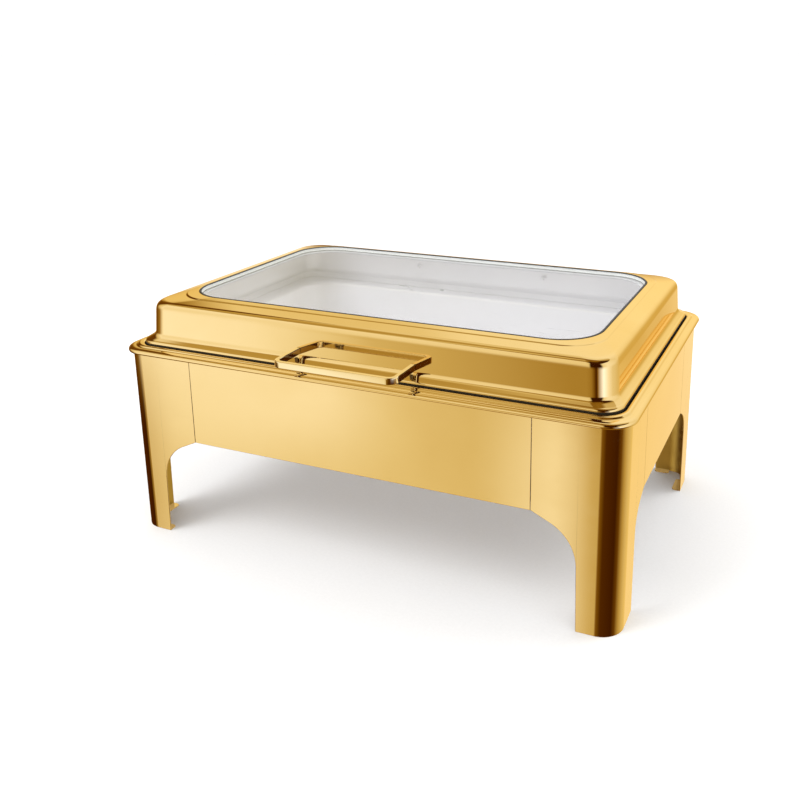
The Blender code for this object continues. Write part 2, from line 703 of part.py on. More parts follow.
def add_nut(name, x, z, face):
    """Cap nut in front of the plane y = face, hollow for the shank of its screw."""
    end = face - NUT_HOLE_DEPTH
    nut = [(face - 5.4 * MM, 0), (face - 4.8 * MM, 1.8 * MM), (face - 3.4 * MM, 3.2 * MM),
           (face - 2.6 * MM, SCREW_HEAD_R), (face, SCREW_HEAD_R), (face, SCREW_HOLE_R),
           (end, SCREW_HOLE_R), (end, 0)]
    turned(name, nut, "Y", (x, z), STEEL)


# ---- joint frame --------------------------------------------------------------------------------
def hang_lid():
    """Parents everything that opens with the lid to an empty on the hinge axis."""
    pivot = bpy.data.objects.new("lid_pivot", None)
    pivot.location = (0, HINGE_Y, HINGE_Z)
    bpy.context.scene.collection.objects.link(pivot)
    bpy.context.view_layer.update()
    for obj in list(bpy.data.objects):
        if obj.name.startswith(LID_PIECES) and obj is not pivot:
            obj.parent = pivot
            obj.matrix_parent_inverse = pivot.matrix_world.inverted()


def main():
    clear_scene()
    for sign_x in (-1, 1):
        for sign_y in (-1, 1):
            make_leg(sign_x, sign_y)
    make_aprons()
    make_straps()
    make_top_frame()
    make_water_pan()
    make_food_pan()
    make_lid_shell()
    make_window()
    make_handle()
    make_handle_screws()
    make_hinge_base()
    make_hinge_core()
    make_hinge_arms()
    make_fixings()
    hang_lid()


main()
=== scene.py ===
"""Look of the flip-lid chafer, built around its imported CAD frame.

Lengths are in metres and places are in the CAD's own frame: +X along the front, -Y the front, +Z up.
Sheet parts are lofted through rounded rectangles that are stated, like the CAD's, by their inset
from the stand's outer face (negative is inwards), their height and their corner radius.
"""

import math

import bmesh
import bpy
from mathutils import Matrix, Vector


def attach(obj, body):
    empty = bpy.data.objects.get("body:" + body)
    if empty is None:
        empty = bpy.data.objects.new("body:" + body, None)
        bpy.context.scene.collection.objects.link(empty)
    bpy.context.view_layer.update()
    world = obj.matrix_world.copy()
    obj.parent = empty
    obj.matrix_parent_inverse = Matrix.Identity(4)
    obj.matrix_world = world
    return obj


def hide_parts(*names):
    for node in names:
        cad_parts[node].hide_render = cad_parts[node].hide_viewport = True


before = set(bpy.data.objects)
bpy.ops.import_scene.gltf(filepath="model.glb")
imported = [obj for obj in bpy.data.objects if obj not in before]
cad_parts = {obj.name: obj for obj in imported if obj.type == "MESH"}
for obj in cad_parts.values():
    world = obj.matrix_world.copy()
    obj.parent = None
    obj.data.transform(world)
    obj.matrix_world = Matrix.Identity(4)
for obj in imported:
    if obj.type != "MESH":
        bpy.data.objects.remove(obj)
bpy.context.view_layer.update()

# ---- dimensions ---------------------------------------------------------------------------------
MM = 0.001
GAP = 0.0003
HALF_X = 0.300
HALF_Y = 0.1990
CORNER_R = 0.025
SHEET = 0.0012
PAN_SHEET = 0.0008
CORNER_STEPS = 26

APRON_BOTTOM = 0.1252
STAND_TOP = 0.2268
SEAM_X = 0.2065
SEAM_Y = 0.1060
LEG_INNER_X = 0.2560
LEG_INNER_Y = 0.1425
ARCH_SLOPE = math.radians(25)
ARCH_STRAIGHT = 0.40
ARCH_TAPER = 0.0015
ARCH_STEPS = 26
FOOT_WIDTH = 0.0115
FOOT_ROUND = 0.0045
FOOT_SCOOP = 0.7

LID_FLANGE_R = 0.0240
LID_WALL_R = 0.0255
SHOULDER_INSET = -0.0246
WINDOW_INSET = -0.0494
WINDOW_R = 0.0503
GLASS_INSET = -0.0515
GLASS_LOW = 0.2842
GLASS_HIGH = 0.2882
GLASS_EDGE_R = 0.0006
GLASS_EDGE_STEPS = 4
RETAINER_SHEET = 0.0010

FOOD_HALF_X = 0.265
FOOD_HALF_Y = 0.1625
FOOD_RIM_LOW = 0.2289

HANDLE_Z = 0.2505
HANDLE_ARM_X = 0.070
HANDLE_WALL_Y = -(HALF_Y - 0.0188)
HANDLE_FRONT_Y = -(HALF_Y + 0.02625)
HANDLE_BEND_R = 0.008
HANDLE_WIDE = 0.0055
HANDLE_HIGH = 0.0075
HANDLE_EDGE_R = 0.0011
HANDLE_SCREW_HEAD_Y = -(HALF_Y - 0.0205)
HANDLE_SCREW_REACH = 0.0100
HANDLE_SCREW_R = 0.0014
HANDLE_SCREW_HEAD_R = 0.0034
HANDLE_SCREW_HEAD_HIGH = 0.0018
FLANGE_SCREW_Y = -(HALF_Y - 0.0144)
FLANGE_SCREW_TOP = 0.2424
FLANGE_SCREW_R = 0.0016
FLANGE_SCREW_LONG = 0.0054

HINGE_Y = HALF_Y + 0.0215
HINGE_Z = 0.2430
SHAFT_R = 0.0030
BARREL_R = 0.0075
BARREL_BORE_R = 0.0061
BARREL_HALF = 0.050
BUSH_LONG = 0.008
BUSH_COLLAR = 0.0012
BASE_THICK = 0.0020
BASE_LOW = 0.158
BASE_SHELF = 0.2205
BASE_BACK_Y = HALF_Y + 0.0152
BASE_LUG = 0.0010
ARM_IN = 0.084
ARM_OUT = 0.104
ARM_THICK = 0.0020
ARM_KNUCKLE_R = 0.0066
ARM_SCREW_X = 0.094
ARM_SCREW_Z = 0.264
ARM_SCREW_FACE = HALF_Y - 0.0168
ARM_SCREW_LONG = 0.0075
ARM_NUT_FACE = HALF_Y - 0.0213
SHAFT_PAST_ARM = 0.003
BASE_SCREW_X = 0.036
BASE_SCREW_Z = (0.168, 0.196)
BASE_SCREW_LONG = 0.0073
SCREW_R = 0.0019
SCREW_HOLE_R = 0.0022
SCREW_HEAD_R = 0.0038
SCREW_HEAD_HIGH = 0.0022
NUT_FLAT = 0.00325
ROUND_STEPS = 48
EDGE_BEVEL = 0.00035
# Angles in degrees between faces whose edge is kept hard.
SHARP = 40
TURNED_SHARP = 35
BARREL_SHARP = 50
HANDLE_SHARP = 60

GOLD_LIGHT = (0.82, 0.612, 0.285)
GOLD_DEEP = (0.79, 0.575, 0.250)
GOLD_GRAZING = (1.0, 0.80, 0.46)
GOLD_MIRRORED = (0.92, 0.88, 0.77)
PALE_LIGHT = (0.90, 0.74, 0.44)
PALE_DEEP = (0.86, 0.69, 0.38)
# Near-black gold of the flange knobs, a painted dark reflection on their domes.
HEAD_PAINTED_REFLECTION_LIGHT = (0.20, 0.13, 0.050)
HEAD_PAINTED_REFLECTION_DEEP = (0.13, 0.08, 0.028)
# Darker gold of the sheets' inner faces, painted shade for the inside of the stand.
BACK_PAINTED_SHADE_LIGHT = (0.50, 0.33, 0.085)
BACK_PAINTED_SHADE_DEEP = (0.42, 0.27, 0.060)
STEEL_LIGHT = (0.94, 0.935, 0.96)
STEEL_DARK = (0.90, 0.895, 0.92)
SATIN_METALLIC = 0.35
TURNED_ROUGHNESS = 0.22


# ---- node helpers -------------------------------------------------------------------------------
class Nodes:
    """Short calls for building one material's node tree."""

    def __init__(self, name):
        self.material = bpy.data.materials.new(name)
        self.material.use_nodes = True
        self.tree = self.material.node_tree
        self.shader = self.tree.nodes["Principled BSDF"]
        self.place = self.add("ShaderNodeTexCoord").outputs["Object"]

    def add(self, kind, **settings):
        node = self.tree.nodes.new(kind)
        for key, value in settings.items():
            setattr(node, key, value)
        return node

    def link(self, source, target):
        self.tree.links.new(source, target)

    def mapped(self, scale):
        mapping = self.add("ShaderNodeMapping")
        mapping.inputs["Scale"].default_value = scale
        self.link(self.place, mapping.inputs["Vector"])
        return mapping.outputs["Vector"]

    def noise(self, vector, scale, detail=2.0, roughness=0.5):
        noise = self.add("ShaderNodeTexNoise")
        noise.inputs["Scale"].default_value = scale
        noise.inputs["Detail"].default_value = detail
        noise.inputs["Roughness"].default_value = roughness
        self.link(vector, noise.inputs["Vector"])
        return noise.outputs["Fac"]

    def remap(self, value, low, high, start=0.3, stop=0.7):
        node = self.add("ShaderNodeMapRange")
        node.inputs["From Min"].default_value = start
        node.inputs["From Max"].default_value = stop
        node.inputs["To Min"].default_value = low
        node.inputs["To Max"].default_value = high
        self.link(value, node.inputs["Value"])
        return node.outputs["Result"]

    def ramp(self, value, stops):
        node = self.add("ShaderNodeValToRGB")
        ramp = node.color_ramp
        for _ in range(len(stops) - 2):
            ramp.elements.new(0.5)
        for element, (at, colour) in zip(ramp.elements, stops):
            element.position = at
            element.color = (*colour, 1.0)
        self.link(value, node.inputs["Fac"])
        return node.outputs["Color"]

    def bump(self, height, distance, strength=1.0, below=None):
        node = self.add("ShaderNodeBump")
        node.inputs["Distance"].default_value = distance
        node.inputs["Strength"].default_value = strength
        self.link(height, node.inputs["Height"])
        if below is not None:
            self.link(below, node.inputs["Normal"])
        return node.outputs["Normal"]


# ---- materials ----------------------------------------------------------------------------------
def polished_gold(name, roughness, wave=0.00020, light=GOLD_LIGHT, deep=GOLD_DEEP, mirrored=GOLD_MIRRORED):
    """Titanium-gold coating on mirror-polished sheet, with faint press waves and polishing lines.

    Gold seen in gold takes the tone called mirrored, so that it isn't tinted twice.
    """
    nodes = Nodes(name)
    shader = nodes.shader
    shader.inputs["Metallic"].default_value = 1.0
    shader.inputs["Specular Tint"].default_value = (*GOLD_GRAZING, 1.0)
    cloud = nodes.noise(nodes.place, 9.0, 3.0)
    colour = nodes.ramp(cloud, ((0.30, deep), (0.62, light)))
    tone = nodes.add("ShaderNodeMix", data_type="RGBA")
    nodes.link(nodes.add("ShaderNodeLightPath").outputs["Is Glossy Ray"], tone.inputs["Factor"])
    nodes.link(colour, tone.inputs["A"])
    tone.inputs["B"].default_value = (*mirrored, 1.0)
    nodes.link(tone.outputs["Result"], shader.inputs["Base Color"])
    smear = nodes.noise(nodes.mapped((24.0, 24.0, 60.0)), 1.0, 4.0, 0.6)
    nodes.link(nodes.remap(smear, roughness * 0.75, roughness * 1.35), shader.inputs["Roughness"])
    swell = nodes.bump(nodes.noise(nodes.place, 7.0, 0.0), wave)
    lines = nodes.noise(nodes.mapped((60.0, 60.0, 2600.0)), 1.0, 2.0)
    nodes.link(nodes.bump(lines, 0.000002, 0.4, swell), shader.inputs["Normal"])
    return nodes.material


def satin_steel(name, stretch, roughness):
    """Stainless steel with a fine satin grain that runs along the least-stretched direction."""
    nodes = Nodes(name)
    shader = nodes.shader
    shader.inputs["Metallic"].default_value = SATIN_METALLIC
    grain = nodes.noise(nodes.mapped(stretch), 1.0, 3.0, 0.6)
    cloud = nodes.noise(nodes.place, 14.0, 3.0)
    nodes.link(nodes.ramp(cloud, ((0.32, STEEL_DARK), (0.66, STEEL_LIGHT))), shader.inputs["Base Color"])
    nodes.link(nodes.remap(grain, roughness * 0.8, roughness * 1.3), shader.inputs["Roughness"])
    nodes.link(nodes.bump(grain, 0.00001, 0.5), shader.inputs["Normal"])
    return nodes.material


def turned_steel(name):
    """Machined steel with fine tool marks and slightly duller patches."""
    nodes = Nodes(name)
    shader = nodes.shader
    shader.inputs["Metallic"].default_value = 1.0
    shade = tuple(0.8 * c for c in STEEL_LIGHT)
    cloud = nodes.noise(nodes.place, 160.0, 4.0)
    nodes.link(nodes.ramp(cloud, ((0.3, shade), (0.6, STEEL_LIGHT))), shader.inputs["Base Color"])
    marks = nodes.noise(nodes.mapped((3200.0, 300.0, 300.0)), 1.0, 2.0)
    dull = nodes.remap(marks, TURNED_ROUGHNESS * 0.8, TURNED_ROUGHNESS * 1.4)
    nodes.link(dull, shader.inputs["Roughness"])
    nodes.link(nodes.bump(marks, 0.000012, 0.6), shader.inputs["Normal"])
    return nodes.material


def soft_black(name, base, roughness, grain):
    """Moulded black rubber or nylon with a fine skin texture; also the near-black painted shade laid in the
    lid's gutter.
    """
    nodes = Nodes(name)
    shader = nodes.shader
    skin = nodes.noise(nodes.place, grain, 4.0, 0.6)
    mottle_dark = tuple(0.6 * c for c in base)
    nodes.link(nodes.ramp(skin, ((0.3, mottle_dark), (0.7, base))), shader.inputs["Base Color"])
    nodes.link(nodes.remap(skin, roughness * 0.85, roughness * 1.15), shader.inputs["Roughness"])
    nodes.link(nodes.bump(skin, 0.00003, 0.6), shader.inputs["Normal"])
    return nodes.material


def ground_edge(name):
    """Frosted, slightly greenish edge of a ground glass pane."""
    nodes = Nodes(name)
    grit = nodes.noise(nodes.place, 2400.0, 3.0)
    colour = nodes.ramp(grit, ((0.3, (0.78, 0.82, 0.81)), (0.7, (0.90, 0.92, 0.91))))
    nodes.link(colour, nodes.shader.inputs["Base Color"])
    nodes.link(nodes.remap(grit, 0.45, 0.65), nodes.shader.inputs["Roughness"])
    nodes.link(nodes.bump(grit, 0.00002, 0.5), nodes.shader.inputs["Normal"])
    return nodes.material


def clear_glass(name):
    """Clear tempered pane: see-through, with a film of reflection that grows towards grazing."""
    nodes = Nodes(name)
    tree = nodes.tree
    haze = nodes.noise(nodes.place, 6.0, 1.0)
    tint = nodes.ramp(haze, ((0.3, (0.975, 0.98, 0.985)), (0.7, (0.99, 0.99, 0.99))))
    clear = nodes.add("ShaderNodeBsdfTransparent")
    nodes.link(tint, clear.inputs["Color"])
    shine = nodes.add("ShaderNodeBsdfGlossy")
    shine.inputs["Roughness"].default_value = 0.02
    sway = nodes.bump(nodes.noise(nodes.place, 5.0, 0.0), 0.0001)
    nodes.link(sway, shine.inputs["Normal"])
    facing = nodes.add("ShaderNodeLayerWeight")
    facing.inputs["Blend"].default_value = 0.5
    steep = nodes.add("ShaderNodeMath", operation="POWER")
    nodes.link(facing.outputs["Facing"], steep.inputs[0])
    steep.inputs[1].default_value = 5.0
    mix = nodes.add("ShaderNodeMixShader")
    nodes.link(nodes.remap(steep.outputs["Value"], 0.03, 0.90, 0.0, 1.0), mix.inputs["Fac"])
    nodes.link(clear.outputs["BSDF"], mix.inputs[1])
    nodes.link(shine.outputs["BSDF"], mix.inputs[2])
    nodes.link(mix.outputs["Shader"], tree.nodes["Material Output"].inputs["Surface"])
    tree.nodes.remove(nodes.shader)
    return nodes.material


GOLD_STAND = polished_gold("gold_stand", 0.060)
GOLD_RIM = polished_gold("gold_rim", 0.045)
GOLD_LID = polished_gold("gold_lid", 0.045)
GOLD_PARTS = polished_gold("gold_parts", 0.05, 0.00004, PALE_LIGHT, PALE_DEEP)
# Flange knobs: gold darkened almost to black, in reflections too, as a painted dark reflection.
GOLD_HEADS_PAINTED_REFLECTION = polished_gold("gold_heads_painted_dark_reflection", 0.12, 0.00004, HEAD_PAINTED_REFLECTION_LIGHT, HEAD_PAINTED_REFLECTION_DEEP, HEAD_PAINTED_REFLECTION_LIGHT)
# Inner faces of the stand's sheets: a rougher gold whose darker colour is painted shade.
GOLD_BACK_PAINTED_SHADE = polished_gold("gold_sheet_back_painted_shade", 0.34, 0.00004, BACK_PAINTED_SHADE_LIGHT, BACK_PAINTED_SHADE_DEEP)
# Near-black painted shade for the narrow gutter between the water pan's rim and the lid's flange, standing
# for the shadow in that gap.
GOLD_GUTTER_PAINTED_SHADE = soft_black("gutter_painted_shade", (0.030, 0.018, 0.006), 0.55, 500.0)
STEEL_PAN = satin_steel("satin_pan", (30.0, 30.0, 900.0), 0.34)
STEEL_LID = satin_steel("satin_lid_inside", (30.0, 900.0, 900.0), 0.36)
STEEL_FRAME = satin_steel("satin_frame", (30.0, 700.0, 700.0), 0.32)
STEEL_TURNED = turned_steel("turned_steel")
RUBBER = soft_black("black_silicone", (0.020, 0.020, 0.021), 0.50, 900.0)
NYLON = soft_black("black_nylon_skin", (0.045, 0.045, 0.047), 0.42, 1400.0)
GLASS = clear_glass("clear_pane")
GLASS_EDGE = ground_edge("ground_pane_edge")


# ---- mesh helpers -------------------------------------------------------------------------------
def finish_mesh(name, bm, looks, sharp=SHARP, bevel=0.0):
    """Turns a bmesh into a smooth-shaded piece, with an optional small bevel on its hard edges."""
    bmesh.ops.recalc_face_normals(bm, faces=bm.faces)
    mesh = bpy.data.meshes.new(name)
    bm.to_mesh(mesh)
    bm.free()
    for look in looks:
        mesh.materials.append(look)
    mesh.shade_smooth()
    mesh.set_sharp_from_angle(angle=math.radians(sharp))
    piece = bpy.data.objects.new(name, mesh)
    bpy.context.scene.collection.objects.link(piece)
    if bevel > 0:
        rounding = piece.modifiers.new("edge_rounding", "BEVEL")
        rounding.width = bevel
        rounding.segments = 2
        rounding.limit_method = "ANGLE"
        rounding.angle_limit = math.radians(sharp)
        rounding.use_clamp_overlap = True
        rounding.harden_normals = True
    weigh = piece.modifiers.new("flat_faces_first", "WEIGHTED_NORMAL")
    weigh.keep_sharp = True
    weigh.weight = 80
    return piece


def place(piece, body, slot, *nodes):
    """Ties a piece to its body and hides the CAD nodes that it replaces. The slot argument is not used."""
    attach(piece, body)
    if nodes:
        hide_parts(*nodes)
    return piece


def loop_points(half_x, half_y, radius, z):
    """One rounded rectangle, counter-clockwise from above."""
    points = []
    for sign_x, sign_y, start in ((1, -1, -90), (1, 1, 0), (-1, 1, 90), (-1, -1, 180)):
        centre_x = sign_x * (half_x - radius)
        centre_y = sign_y * (half_y - radius)
        for step in range(CORNER_STEPS + 1):
            angle = math.radians(start + 90 * step / CORNER_STEPS)
            x = centre_x + radius * math.cos(angle)
            y = centre_y + radius * math.sin(angle)
            points.append((x, y, z))
    return points


def fillet(path, reach, steps=4, closed=False):
    """Rounds every bend of a path, starting at most reach away from it."""
    points = [Vector(p) for p in path]
    count = len(points)
    smooth = [] if closed else [points[0]]
    inner = range(count) if closed else range(1, count - 1)
    for i in inner:
        here = points[i]
        before = points[i - 1]
        after = points[(i + 1) % count]
        cut = min(reach, 0.5 * (before - here).length, 0.5 * (after - here).length)
        first = here + cut * (before - here).normalized()
        last = here + cut * (after - here).normalized()
        for step in range(steps + 1):
            t = step / steps
            spot = (1 - t) ** 2 * first + 2 * t * (1 - t) * here + t * t * last
            if not smooth or (spot - smooth[-1]).length > 1e-7:
                smooth.append(spot)
    if not closed:
        smooth.append(points[-1])
    return [tuple(p) for p in smooth]


def thicken(path, thickness):
    """The same path moved to its left by the sheet's thickness, its radii moved with it."""
    moved = []
    for i, (inset, z, radius) in enumerate(path):
        before = path[max(i - 1, 0)]
        after = path[min(i + 1, len(path) - 1)]
        normals = []
        for start, end in ((before, path[i]), (path[i], after)):
            step = Vector((end[0] - start[0], end[1] - start[1]))
            if step.length > 0:
                normals.append(Vector((-step.y, step.x)).normalized())
        normal = sum(normals, Vector((0, 0))).normalized()
        shift = normal * thickness / max(normal.dot(normals[0]), 0.6)
        moved.append((inset + shift.x, z + shift.y, radius + shift.x))
    return moved


def loft(name, profile, looks, look_of, half=(HALF_X, HALF_Y), floor=False):
    """Joins rounded rectangles along a profile; look_of gives each strip's material number."""
    bm = bmesh.new()
    loops = []
    for inset, z, radius in profile:
        points = loop_points(half[0] + inset, half[1] + inset, radius, z)
        loops.append([bm.verts.new(p) for p in points])
    pairs = list(zip(loops, loops[1:]))
    if floor:
        bm.faces.new(loops[0]).material_index = look_of(0)
        bm.faces.new(loops[-1]).material_index = look_of(len(profile) - 1)
    else:
        pairs.append((loops[-1], loops[0]))
    count = len(loops[0])
    for strip, (low, high) in enumerate(pairs):
        for i in range(count):
            j = (i + 1) % count
            bm.faces.new((low[i], low[j], high[j], high[i])).material_index = look_of(strip)
    return finish_mesh(name, bm, looks)


def axis_point(axis, along, a, b):
    """A point given along an axis and by its other two coordinates."""
    return {"X": (along, a, b), "Y": (a, along, b), "Z": (a, b, along)}[axis]


def prism(bm, outline, axis, low, high):
    """Extrudes an outline between two planes square to an axis: outline holds the other two."""
    rings = []
    for level in (low, high):
        rings.append([bm.verts.new(axis_point(axis, level, a, b)) for a, b in outline])
    bm.faces.new(rings[0])
    bm.faces.new(rings[1])
    count = len(outline)
    for i in range(count):
        j = (i + 1) % count
        bm.faces.new((rings[0][i], rings[0][j], rings[1][j], rings[1][i]))


def arc(centre_a, centre_b, radius, start, end, steps):
    """Points on an arc between two angles in degrees, both ends included."""
    points = []
    for step in range(steps + 1):
        angle = math.radians(start + (end - start) * step / steps)
        points.append((centre_a + radius * math.cos(angle), centre_b + radius * math.sin(angle)))
    return points


def circle(centre_a, centre_b, radius):
    """Points of a whole circle, none of them twice."""
    return arc(centre_a, centre_b, radius, 0, 360 - 360 / ROUND_STEPS, ROUND_STEPS - 1)


def hexagon(angle):
    """Radius of a hexagon of unit flat-to-centre size, in the direction of angle."""
    sector = math.pi / 3
    return 1 / math.cos(angle % sector - sector / 2)


def turned(name, profile, axis, centre, look, sharp=TURNED_SHARP):
    """A body of revolution: (along, radius) rings, or (along, flat, "hex") for hexagon rings."""
    bm = bmesh.new()
    rings = []
    for stop in profile:
        along, radius = stop[:2]
        ring = []
        if radius == 0:
            ring.append(bm.verts.new(axis_point(axis, along, centre[0], centre[1])))
            rings.append(ring)
            continue
        for step in range(ROUND_STEPS):
            angle = 2 * math.pi * step / ROUND_STEPS
            reach = radius * hexagon(angle) if len(stop) == 3 else radius
            a = centre[0] + reach * math.cos(angle)
            b = centre[1] + reach * math.sin(angle)
            ring.append(bm.verts.new(axis_point(axis, along, a, b)))
        rings.append(ring)
    pairs = list(zip(rings, rings[1:]))
    if profile[0][1] != 0:
        pairs.append((rings[-1], rings[0]))
    for low, high in pairs:
        for i in range(ROUND_STEPS):
            j = (i + 1) % ROUND_STEPS
            corners = [low[i % len(low)], low[j % len(low)], high[j % len(high)], high[i % len(high)]]
            bm.faces.new(list(dict.fromkeys(corners)))
    return finish_mesh(name, bm, [look], sharp)


def cut(piece, tool_bm):
    """Cuts a tool mesh out of a piece and applies it, so that no cutter is left in the scene."""
    bmesh.ops.recalc_face_normals(tool_bm, faces=tool_bm.faces)
    mesh = bpy.data.meshes.new(piece.name + "_cutter")
    tool_bm.to_mesh(mesh)
    tool_bm.free()
    tool = bpy.data.objects.new(piece.name + "_cutter", mesh)
    bpy.context.scene.collection.objects.link(tool)
    modifier = piece.modifiers.new("cut", "BOOLEAN")
    modifier.operation = "DIFFERENCE"
    modifier.solver = "EXACT"
    modifier.object = tool
    piece.modifiers.move(len(piece.modifiers) - 1, 0)
    with bpy.context.temp_override(object=piece, active_object=piece):
        bpy.ops.object.modifier_apply(modifier="cut")
    bpy.data.objects.remove(tool)


# ---- stand --------------------------------------------------------------------------------------
def side_name(sign_x, sign_y):
    """Name of a corner, such as front_left."""
    return ("front_" if sign_y < 0 else "rear_") + ("left" if sign_x < 0 else "right")


def arch_edge(run):
    """Lower edge of one leg wing from its seam to its inner edge: (distance from seam, height)."""
    straight = ARCH_STRAIGHT * run
    radius = (run - ARCH_TAPER - straight) / (1 - math.sin(ARCH_SLOPE))
    bend_z = APRON_BOTTOM - straight * math.tan(ARCH_SLOPE)
    points = [(0, APRON_BOTTOM)]
    for step in range(ARCH_STEPS + 1):
        turn = ARCH_SLOPE + (math.pi / 2 - ARCH_SLOPE) * step / ARCH_STEPS
        along = straight + radius * (math.sin(turn) - math.sin(ARCH_SLOPE))
        height = bend_z - radius * (math.cos(ARCH_SLOPE) - math.cos(turn))
        points.append((along, height))
    points.append((run, 0))
    return points


def leg_stations():
    """Outer-face points of a leg from the front seam round the corner: (point, normal, height)."""
    stations = []
    for along, height in arch_edge(LEG_INNER_X - SEAM_X):
        stations.append(((SEAM_X + along, HALF_Y), (0, 1), height))
    for step in range(CORNER_STEPS + 1):
        angle = math.radians(90 - 90 * step / CORNER_STEPS)
        normal = (math.cos(angle), math.sin(angle))
        x = HALF_X - CORNER_R + CORNER_R * normal[0]
        y = HALF_Y - CORNER_R + CORNER_R * normal[1]
        stations.append(((x, y), normal, 0))
    for along, height in reversed(arch_edge(LEG_INNER_Y - SEAM_Y)):
        stations.append(((HALF_X, SEAM_Y + along), (1, 0), height))
    return stations


def foot_outline(free_end, corner_start, face):
    """Plan of one foot flange: square to the wall, round at its free end, scooped at the corner."""
    inner = face - FOOT_WIDTH
    free = arc(free_end + FOOT_ROUND, inner + FOOT_ROUND, FOOT_ROUND, 180, 270, 10)
    scoop = FOOT_SCOOP * FOOT_WIDTH
    blend = arc(corner_start - scoop + FOOT_ROUND, inner + FOOT_ROUND, FOOT_ROUND, 270, 340, 8)
    back = face - SHEET / 2
    return [(free_end, back)] + free + blend + [(corner_start, back)]


def make_leg(sign_x, sign_y):
    """Corner leg: a bent sheet whose lower edge arches up to the panels, with two foot flanges."""
    corner = side_name(sign_x, sign_y)
    bm = bmesh.new()
    columns = []
    for (x, y), (nx, ny), low in leg_stations():
        column = []
        for depth, z in ((0, low), (0, STAND_TOP), (SHEET, STAND_TOP), (SHEET, low)):
            spot = (sign_x * (x - nx * depth), sign_y * (y - ny * depth), z)
            column.append(bm.verts.new(spot))
        columns.append(column)
    bm.faces.new(columns[0])
    bm.faces.new(columns[-1])
    for left, right in zip(columns, columns[1:]):
        for i in range(4):
            j = (i + 1) % 4
            face = bm.faces.new((left[i], left[j], right[j], right[i]))
            # The inner face takes the darker gold of painted shade.
            face.material_index = 1 if i == 2 else 0
    front = foot_outline(LEG_INNER_X + 2 * GAP, HALF_X - CORNER_R, HALF_Y)
    prism(bm, [(sign_x * x, sign_y * y) for x, y in front], "Z", 0, SHEET)
    side = foot_outline(LEG_INNER_Y + 2 * GAP, HALF_Y - CORNER_R, HALF_X)
    prism(bm, [(sign_x * x, sign_y * y) for y, x in side], "Z", 0, SHEET)
    leg = finish_mesh("stand_leg_" + corner, bm, [GOLD_STAND, GOLD_BACK_PAINTED_SHADE], SHARP, EDGE_BEVEL)
    place(leg, "stand", "gold_sheet", "leg_" + corner)


def make_aprons():
    """Four flat panels between the legs."""
    for side, sign, axis, face, seam in (
        ("front", -1, "Y", HALF_Y, SEAM_X),
        ("rear", 1, "Y", HALF_Y, SEAM_X),
        ("left", -1, "X", HALF_X, SEAM_Y),
        ("right", 1, "X", HALF_X, SEAM_Y),
    ):
        reach = seam - GAP
        outline = [(-reach, APRON_BOTTOM), (reach, APRON_BOTTOM),
                   (reach, STAND_TOP), (-reach, STAND_TOP)]
        bm = bmesh.new()
        prism(bm, outline, axis, sign * (face - SHEET), sign * face)
        bm.faces.ensure_lookup_table()
        # The inner face takes the darker gold of painted shade.
        bm.faces[0].material_index = 1
        panel = finish_mesh("stand_panel_" + side, bm, [GOLD_STAND, GOLD_BACK_PAINTED_SHADE], SHARP, EDGE_BEVEL)
        place(panel, "stand", "gold_sheet", "apron_" + side)


# ---- pans ---------------------------------------------------------------------------------------
# Outer faces of the pans from rim to floor, in millimetres: (inset, height, corner radius).
WATER_PATH = [
    (1.0, 226.2, 26.0), (4.3, 225.9, 29.3), (5.4, 226.8, 30.4), (5.6, 228.2, 30.6), (5.1, 229.8, 30.1),
    (3.6, 231.1, 28.6), (1.0, 231.9, 27.4), (-2.3, 232.3, 26.6), (-3.2, 233.0, 26.4), (-4.2, 234.1, 26.1),
    (-6.0, 234.6, 25.7), (-8.1, 234.3, 25.2), (-9.2, 233.4, 25.0), (-9.6, 231.8, 25.0), (-9.6, 229.2, 25.0),
    (-10.1, 228.6, 24.5), (-39.6, 228.6, 44.6), (-41.4, 227.6, 44.6), (-42.2, 225.4, 45.0),
    (-46.0, 148.0, 46.0), (-48.2, 142.6, 44.0), (-53.6, 140.4, 40.0),
]
WATER_GOLD_TO = -0.0112
# Inset and height that bound the gutter's near-black painted shade, which starts at WATER_GOLD_TO.
GUTTER_PAINTED_SHADE_FROM = -0.0088
GUTTER_PAINTED_SHADE_TOP = 0.2332
# The food pan's heights count from the underside of its rim, and its insets from its own edge.
FOOD_STEPS = [(0, 0, 36), (0, 3.2, 36), (-1.0, 4.2, 35), (-10.4, 4.2, 38), (-12.6, 3.0, 40),
              (-13.5, 0.6, 41), (-18.6, -51.0, 48), (-21.6, -58.0, 48), (-28.6, -60.8, 44)]
PAN_FILLET = 0.004


def make_water_pan():
    """Water pan whose gold rim is beaded over the stand; its strips in the gutter under the lid are
    near-black painted shade.
    """
    path = fillet([(d * MM, z * MM, r * MM) for d, z, r in WATER_PATH], PAN_FILLET)
    profile = path[::-1] + thicken(path, PAN_SHEET)
    looks = []
    for inset, z, radius in profile:
        # Gutter strips below its top get the near-black painted shade.
        in_painted_gap_shade = WATER_GOLD_TO < inset < GUTTER_PAINTED_SHADE_FROM and z < GUTTER_PAINTED_SHADE_TOP
        looks.append(2 if in_painted_gap_shade else 0 if inset > WATER_GOLD_TO else 1)
    materials = [GOLD_RIM, STEEL_PAN, GOLD_GUTTER_PAINTED_SHADE]
    pan = loft("rim_and_water_pan", profile, materials, lambda i: looks[i], floor=True)
    place(pan, "stand", "gold_rim", "water_pan")


